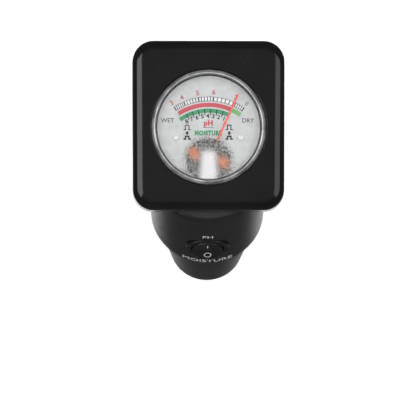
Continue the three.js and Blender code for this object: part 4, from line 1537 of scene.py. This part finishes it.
def build_switch_housing():
    """The flange round the button, the barrel behind it and its two snap arms."""
    floor = BARREL_BACK + 1.7
    profile = soften([
        (BUTTON_HOLE_R, floor), (BUTTON_HOLE_R, BODY_R), (FLANGE_R, BODY_R),
        (FLANGE_R, FLANGE_BACK), (BARREL_R, FLANGE_BACK), (BARREL_R, BARREL_BACK),
        (0, BARREL_BACK)], 0.22, 3)
    shell = Shell().skin(turned([(0, floor), *profile], 96))
    for low, high in ((-8.4, -7.2), (7.2, 8.4)):
        shell.block((low, -2, 16.5), (high, 2, 19), 0.15)
    make_piece("switch_housing", shell, ["switch_black"], SWITCH, slot="switch_black",
               replaces=["switch_housing"])


VALLEY = 3.13            # the button's middle, out from its pins, before the valley is softened


def rocker_height(y):
    """The button's top: two halves that rise from a soft valley."""
    return VALLEY + math.sqrt(y * y + 0.09) * math.tan(math.radians(ROCKER_REST))


def on_rocker(points):
    """Points whose heights are above the button's top."""
    return [(x, y, rocker_height(y) + z) for x, y, z in points]


def build_rocker():
    radius = sizes().button_radius / MM
    edge = 0.55
    rings = [[(0, 0, rocker_height(0))]]
    for share in (0.12, 0.25, 0.4, 0.55, 0.7, 0.85, 1.0):
        rings.append(on_rocker(circle((radius - edge) * share)))
    for i in range(1, 6):
        angle = math.pi / 2 * i / 5
        rings.append(on_rocker(circle(
            radius - edge + edge * math.sin(angle), edge * (math.cos(angle) - 1))))
    rings += [circle(radius, 1.5), circle(radius, -0.4), circle(radius - 0.4, -0.8), [(0, 0, -0.8)]]
    shell = Shell().skin(rings)
    shell.block((-1.7, -1.7, -3.2), (1.7, 1.7, -0.7), 0.2)
    pin = turned([(0, -6.9), (0.6, -6.9), (0.6, 6.9), (0, 6.9)], 24)
    shell.skin([[(z, y, x) for x, y, z in ring] for ring in pin])
    make_piece("switch_rocker", shell, ["switch_black"], ROCKER, body="rocker",
               slot="switch_black", replaces=["switch_rocker"], sharp=50)


MARK_LOW, MARK_HIGH = -0.015, 0.045     # the marks' two faces, over the button's top


def build_rocker_marks():
    """The line and the ring printed on the button's two halves."""
    half, ring_x, ring_y, ring_at = 0.15, 1.32, 1.2075, -3.1
    rings = []
    for grown, z in ((-half, MARK_LOW), (half, MARK_LOW), (half, MARK_HIGH), (-half, MARK_HIGH)):
        rings.append(on_rocker([
            (x * (ring_x + grown), ring_at + y * (ring_y + grown), z)
            for x, y, _ in circle(1, 0, 48)]))
    shell = Shell().skin(rings, wrap=True)
    bar = [(-0.17, 2.0), (0.17, 2.0), (0.17, 4.2), (-0.17, 4.2)]
    shell.skin([on_rocker([(x, y, z) for x, y in bar]) for z in (MARK_LOW, MARK_HIGH)])
    shell.close_ends(4)
    make_piece("rocker_marks", shell, ["legend_ink"], ROCKER, body="rocker", slot="switch_black")


def wrapped(points, z_centre):
    """Bends flat lettering round the front of the body."""
    made = []
    for p in points:
        angle = p.x / BODY_R - math.pi / 2
        radius = BODY_R + p.z + 0.004
        made.append((radius * math.cos(angle), radius * math.sin(angle), z_centre + p.y))
    return made


def build_legends():
    """The words above and below the switch."""
    shell = Shell()
    for text, height, width, z_centre in (
            ("PH", 2.5, 1.05, SWITCH_Z + 12.3), ("MOISTURE", 2.9, 1.12, RIM_Z + 2.9)):
        points, faces = lettering(text, height)
        flat = [Vector((p.x * width, p.y, p.z)) for p in points]
        shell.add(wrapped(flat, z_centre), faces)
    make_piece("body_legends", shell, ["legend_ink"], BODY, slot="satin_black")


# ---- electrodes ---------------------------------------------------------------------------------


def build_electrodes():
    bolt = 1.8
    upper = soften([(bolt, -15), (7.8, -15), (11, -1.8), (11, -0.3), (bolt, -0.3)], 0.3, 3, True)
    turned_piece("electrode_upper", upper, "turned_steel", BODY, 112, True, slot="steel",
                 replaces=["electrode_upper"])
    insulator = soften([(bolt, -18), (6.8, -18), (7.7, -15.3), (bolt, -15.3)], 0.3, 3, True)
    turned_piece("electrode_insulator", insulator, "rubber", BODY, 112, True, slot="soft_black",
                 replaces=["electrode_insulator"])
    point_r = 1.2
    point_z = TIP_LOW.z / MM
    tip = [(0, point_z), *nose(point_r, 0, point_z + point_r, 68)]
    tip += soften([(6.3, -19.3), (6.7, -18.3), (bolt, -18.3), (bolt, -28), (0, -28)], 0.25, 3)
    turned_piece("electrode_tip", tip, "turned_brass", BODY, 112, slot="brass",
                 replaces=["electrode_tip"])
    carrier = soften([(bolt, 0), (11, 0), (11, 2.3), (13, 2.3), (13, 5), (4, 5), (4, 8),
                      (bolt, 8)], 0.25, 2, True)
    turned_piece("electrode_carrier", carrier, "rubber", BODY, 96, True, slot="soft_black",
                 replaces=["electrode_carrier"])


# ---- fasteners ----------------------------------------------------------------------------------


def cross_head(radius, height, slot):
    """A pan head with a cross recess, as four raised lands on a round base."""
    base = height * 0.45
    foot = base * 0.8
    shell = Shell()
    shell.skin(turned(soften([(0, 0), (radius, 0), (radius, base), (0, base)], 0.1, 2), 48))
    reach = math.asin(slot / (radius - 0.05))
    for quarter in range(4):
        start = quarter * math.pi / 2
        middle = start + math.pi / 4
        arc = [start + reach + (math.pi / 2 - 2 * reach) * i / 12 for i in range(13)]

        def at(distance, angle, z):
            return (distance * math.cos(angle), distance * math.sin(angle), z)

        rings = [[at(radius * 0.55, middle, foot)]]
        for inset, z in ((0.02, foot), (0.02, height - 0.22), (0.2, height)):
            ring = [at(radius - inset, angle, z) for angle in arc]
            rings.append([*ring, at((slot + inset) * math.sqrt(2), middle, z)])
        rings.append([at(radius * 0.55, middle, height)])
        shell.skin(rings)
    return shell


def build_head_screws():
    """The two screws that hold the head's halves together, in from the back."""
    for side, x in (("left", -HEAD_SCREW_X), ("right", HEAD_SCREW_X)):
        shell = cross_head(2.1, 1.4, 0.32)
        shell.skin(turned([(0, -12.2), (1, -12.2), (1, 0.1), (0, 0.1)], 24))
        place = HEAD @ Matrix.Translation((x, HEAD_SCREW_Y, 1.9 - HEAD_DEPTH))
        place = place @ Matrix.Rotation(math.pi, 4, "X")
        name = f"head_screw_{side}"
        make_piece(name, shell, ["bright_steel"], place, slot="steel", replaces=[name])


# ---- CAD pieces that keep their shape -----------------------------------------------------------


INNER_LOOKS = {
    "rubber": ("head_gasket", "meter_base", "body_seal"),
    "bright_steel": ("clamp_strap", "clamp_screw_1", "clamp_screw_2", "board_screw_1",
                     "board_screw_2", "rocker_spring", "tie_washer"),
    "white": ("lower_bridge", "trimmer"),
    "board": ("circuit_board",),
    "resistor": ("resistor_1", "resistor_2"),
    "red_lead": ("lead_tip", "lead_meter_right"),
    "black_lead": ("lead_upper", "lead_meter_left"),
}


def dress_inner_pieces():
    """Gives the pieces inside the casings a finish of their own; the rest are brass."""
    looks = {name: look for look, names in INNER_LOOKS.items() for name in names}
    for name, node in frame["nodes"].items():
        for holder in node.material_slots:
            holder.material = finish(looks.get(name, "turned_brass"))


# ---- stage --------------------------------------------------------------------------------------


VIEW_TILT = 23.36       # degrees between the camera's axis and the body's
VIEW_TURN = -1.24       # degrees round the body's axis
VIEW_ROLL = 1.15        # degrees round the camera's own axis
VIEW_SHIFT = -29.46     # millimetres from the face's centre down to the camera's axis
VIEW_ASIDE = -0.25      # millimetres to the right


def build_camera():
    """Looks down the body's axis almost straight into the dial."""
    settings = bpy.context.scene.soil_meter_stage
    tilt, turn, roll = (math.radians(a) for a in (VIEW_TILT, VIEW_TURN, VIEW_ROLL))
    aside = Vector((math.sin(turn), -math.cos(turn), 0))
    back = aside * math.sin(tilt) + Vector((0, 0, math.cos(tilt)))
    right = Vector((0, 0, 1)).cross(back).normalized()
    up = back.cross(right)
    right, up = (math.cos(roll) * right + math.sin(roll) * up,
                 math.cos(roll) * up - math.sin(roll) * right)
    face = HEAD.translation
    camera = new_object("camera", bpy.data.cameras.new("camera"))
    camera.data.lens = settings.lens
    camera.data.sensor_width = 36
    camera.data.clip_start = 0.01
    turn_matrix = Matrix((right, up, back)).transposed().to_4x4()
    place = face + back * settings.camera_distance + (up * VIEW_SHIFT + right * VIEW_ASIDE) * MM
    camera.matrix_world = Matrix.Translation(place) @ turn_matrix
    bpy.context.scene.camera = camera


LIT_POINT = Vector((0, 0, 0.1))


def softbox(name, place, side, radiance):
    """A square area light that faces the lit point."""
    light = bpy.data.lights.new(name, "AREA")
    light.shape = "SQUARE"
    light.size = side
    light.energy = radiance * math.pi * side * side
    item = new_object(name, light)
    away = Vector(place) - LIT_POINT
    item.matrix_world = Matrix.Translation(place) @ away.to_track_quat("Z", "Y").to_matrix().to_4x4()
    return item


FLOOR_HALF = 6.0         # metres


def build_floor():
    """A wide pale floor under the tip; what it mirrors in the casing is darker in front, with a
    painted shadow round the tip and a painted glow just behind it.
    """
    level = cad_bounds[0].z
    corners = [(-1, -1), (1, -1), (1, 1), (-1, 1)]
    mesh = bpy.data.meshes.new("floor")
    mesh.from_pydata([(x * FLOOR_HALF, y * FLOOR_HALF, level) for x, y in corners], [],
                     [(0, 1, 2, 3)])
    material, graph = new_finish("pale_floor")
    at = graph.place()
    across, forward, _ = graph.parts(at)
    # painted shadow: in reflections the floor is dark within about 18 mm of the body's axis
    under = (across * across + forward * forward).root().above(0.018, 0.012)
    # painted glow: a bright patch just behind the tip, seen only in reflections
    glow = forward.above(0.008, 0.07) * (1 - across.magnitude().above(0.085, 0.05))
    glow = glow * (1 - forward.above(0.075, 0.05)) * under
    tone = graph.mix(graph.noise(at, 8, 3, 0.5), (0.88,) * 3, (0.92,) * 3)
    seen = principled(graph, base_color=tone, roughness=0.8, emission_color=(1, 1, 1),
                      emission_strength=0.28)
    mirrored = graph.node("ShaderNodeEmission", None, {
        "Color": graph.mix(glow, (0.05,) * 3, (1, 1, 1)), "Strength": 1.45})
    surface(graph, graph.mix_shaders(graph.ray("Glossy"), seen, mirrored))
    mesh.materials.append(material)
    new_object("floor", mesh)


def build_surroundings():
    """An even grey room with a soft glow overhead, for reflections only."""
    world = bpy.data.worlds.new("studio")
    bpy.context.scene.world = world
    world.use_nodes = True
    world.node_tree.nodes.clear()
    graph = Graph(world.node_tree)
    ambient = bpy.context.scene.soil_meter_stage.ambient
    toward = graph.node(
        "ShaderNodeVectorMath", {"operation": "DOT_PRODUCT"},
        {0: graph.node("ShaderNodeTexCoord", None, None, "Generated"), 1: (0, -0.4, 0.917)}, 1)
    mirrored = graph.mix(toward.above(0.82, 0.3), (0.06,) * 3, (0.22,) * 3)
    tone = graph.mix(graph.ray("Glossy"), (ambient,) * 3, mirrored)
    tone = graph.mix(graph.ray("Camera"), tone, (0.9,) * 3)
    sky = graph.node("ShaderNodeBackground", None, {"Color": tone})
    graph.node("ShaderNodeOutputWorld", None, {"Surface": sky})
    bpy.context.scene.view_settings.view_transform = "Standard"


def build_lights():
    """A softbox overhead, and one each side that shows only as a reflection."""
    settings = bpy.context.scene.soil_meter_stage
    softbox("key_softbox", (0, -0.35, 1.0), 1.4, settings.key_light).visible_glossy = False
    for name, x, radiance in (("left_softbox", -0.58, settings.left_light),
                              ("right_softbox", 0.58, settings.right_light)):
        softbox(name, (x, -0.2, 0.58), 0.62, radiance).visible_diffuse = False


# ---- operators and panel ------------------------------------------------------------------------


class MakeFinishes(bpy.types.Operator):
    """Makes the procedural materials"""
    bl_idname = "soil_meter.finishes"
    bl_label = "Finishes"

    def execute(self, context):
        make_finishes()
        return {"FINISHED"}


class BuildHeadFront(bpy.types.Operator):
    """Builds the front casing"""
    bl_idname = "soil_meter.head_front"
    bl_label = "Head front"

    def execute(self, context):
        build_head_front()
        return {"FINISHED"}


class BuildHeadBack(bpy.types.Operator):
    """Builds the rear cover and its neck"""
    bl_idname = "soil_meter.head_back"
    bl_label = "Head back"

    def execute(self, context):
        build_head_back()
        return {"FINISHED"}


class BuildUpperBody(bpy.types.Operator):
    """Builds the cylinder with the switch's seat"""
    bl_idname = "soil_meter.upper_body"
    bl_label = "Upper body"

    def execute(self, context):
        build_upper_body()
        return {"FINISHED"}


class BuildLowerBody(bpy.types.Operator):
    """Builds the tapered tube"""
    bl_idname = "soil_meter.lower_body"
    bl_label = "Lower body"

    def execute(self, context):
        build_lower_body()
        return {"FINISHED"}


class BuildCover(bpy.types.Operator):
    """Builds the clear cover and its rim"""
    bl_idname = "soil_meter.cover"
    bl_label = "Dial cover"

    def execute(self, context):
        build_cover()
        return {"FINISHED"}


class BuildPlate(bpy.types.Operator):
    """Builds the silvered plate"""
    bl_idname = "soil_meter.plate"
    bl_label = "Dial plate"

    def execute(self, context):
        build_plate()
        return {"FINISHED"}


class PrintDial(bpy.types.Operator):
    """Prints the bands, digits, words and ticks on the plate"""
    bl_idname = "soil_meter.dial_printing"
    bl_label = "Dial printing"

    def execute(self, context):
        build_printing()
        build_ticks()
        return {"FINISHED"}


class BuildPlateScrews(bpy.types.Operator):
    """Builds the two domed screws"""
    bl_idname = "soil_meter.plate_screws"
    bl_label = "Plate screws"

    def execute(self, context):
        build_plate_screws()
        return {"FINISHED"}


class BuildNeedle(bpy.types.Operator):
    """Builds the needle, its weight and its staffs"""
    bl_idname = "soil_meter.needle"
    bl_label = "Needle"

    def execute(self, context):
        build_needle()
        build_staffs()
        return {"FINISHED"}


class BuildCoil(bpy.types.Operator):
    """Builds the coil's former and its winding"""
    bl_idname = "soil_meter.coil"
    bl_label = "Coil"

    def execute(self, context):
        build_coil()
        return {"FINISHED"}


class BuildHairsprings(bpy.types.Operator):
    """Builds the two spiral springs"""
    bl_idname = "soil_meter.hairsprings"
    bl_label = "Hairsprings"

    def execute(self, context):
        build_hairsprings()
        return {"FINISHED"}


class BuildMovement(bpy.types.Operator):
    """Builds the yoke, core, bridge and jewel"""
    bl_idname = "soil_meter.movement"
    bl_label = "Movement"

    def execute(self, context):
        build_movement()
        return {"FINISHED"}


class BuildSwitchHousing(bpy.types.Operator):
    """Builds the switch's flange and barrel"""
    bl_idname = "soil_meter.switch_housing"
    bl_label = "Switch housing"

    def execute(self, context):
        build_switch_housing()
        return {"FINISHED"}


class BuildRocker(bpy.types.Operator):
    """Builds the rocker button and its marks"""
    bl_idname = "soil_meter.rocker"
    bl_label = "Rocker"

    def execute(self, context):
        build_rocker()
        build_rocker_marks()
        return {"FINISHED"}


class PrintLegends(bpy.types.Operator):
    """Prints the words on the body"""
    bl_idname = "soil_meter.legends"
    bl_label = "Body legends"

    def execute(self, context):
        build_legends()
        return {"FINISHED"}


class BuildElectrodes(bpy.types.Operator):
    """Builds the metal point and its insulators"""
    bl_idname = "soil_meter.electrodes"
    bl_label = "Electrodes"

    def execute(self, context):
        build_electrodes()
        return {"FINISHED"}


class BuildHeadScrews(bpy.types.Operator):
    """Builds the rear cover's screws"""
    bl_idname = "soil_meter.head_screws"
    bl_label = "Head screws"

    def execute(self, context):
        build_head_screws()
        return {"FINISHED"}


class DressInnerPieces(bpy.types.Operator):
    """Gives the pieces inside the casings their finishes"""
    bl_idname = "soil_meter.inner_pieces"
    bl_label = "Inner pieces"

    def execute(self, context):
        dress_inner_pieces()
        return {"FINISHED"}


class BuildStage(bpy.types.Operator):
    """Builds the floor, the lights and the camera"""
    bl_idname = "soil_meter.stage"
    bl_label = "Stage"

    def execute(self, context):
        build_surroundings()
        build_floor()
        build_lights()
        build_camera()
        return {"FINISHED"}


OPERATORS = (
    MakeFinishes, BuildHeadFront, BuildHeadBack, BuildUpperBody, BuildLowerBody, BuildCover,
    BuildPlate, PrintDial, BuildPlateScrews, BuildNeedle, BuildCoil, BuildHairsprings,
    BuildMovement, BuildSwitchHousing, BuildRocker, PrintLegends, BuildElectrodes,
    BuildHeadScrews, DressInnerPieces, BuildStage,
)


class SoilMeterPanel(bpy.types.Panel):
    """Lists the sizes, the colours and the steps that build the meter"""
    bl_idname = "VIEW3D_PT_soil_meter"
    bl_label = "Soil meter"
    bl_space_type = "VIEW_3D"
    bl_region_type = "UI"
    bl_category = "Soil meter"

    def draw(self, context):
        for group in (sizes(), colours(), context.scene.soil_meter_stage):
            box = self.layout.box()
            for name in group.__annotations__:
                box.prop(group, name)
        for item in OPERATORS:
            self.layout.operator(item.bl_idname)


CLASSES = (MeterSizes, MeterColours, StageSettings, *OPERATORS, SoilMeterPanel)


def register():
    for item in CLASSES:
        bpy.utils.register_class(item)
    bpy.types.Scene.soil_meter_sizes = bpy.props.PointerProperty(type=MeterSizes)
    bpy.types.Scene.soil_meter_colours = bpy.props.PointerProperty(type=MeterColours)
    bpy.types.Scene.soil_meter_stage = bpy.props.PointerProperty(type=StageSettings)


def unregister():
    del bpy.types.Scene.soil_meter_stage
    del bpy.types.Scene.soil_meter_colours
    del bpy.types.Scene.soil_meter_sizes
    for item in reversed(CLASSES):
        bpy.utils.unregister_class(item)


def main():
    register()
    for item in OPERATORS:
        step = item.bl_idname.split(".")[1]
        getattr(bpy.ops.soil_meter, step)()


if __name__ == "__main__":
    main()
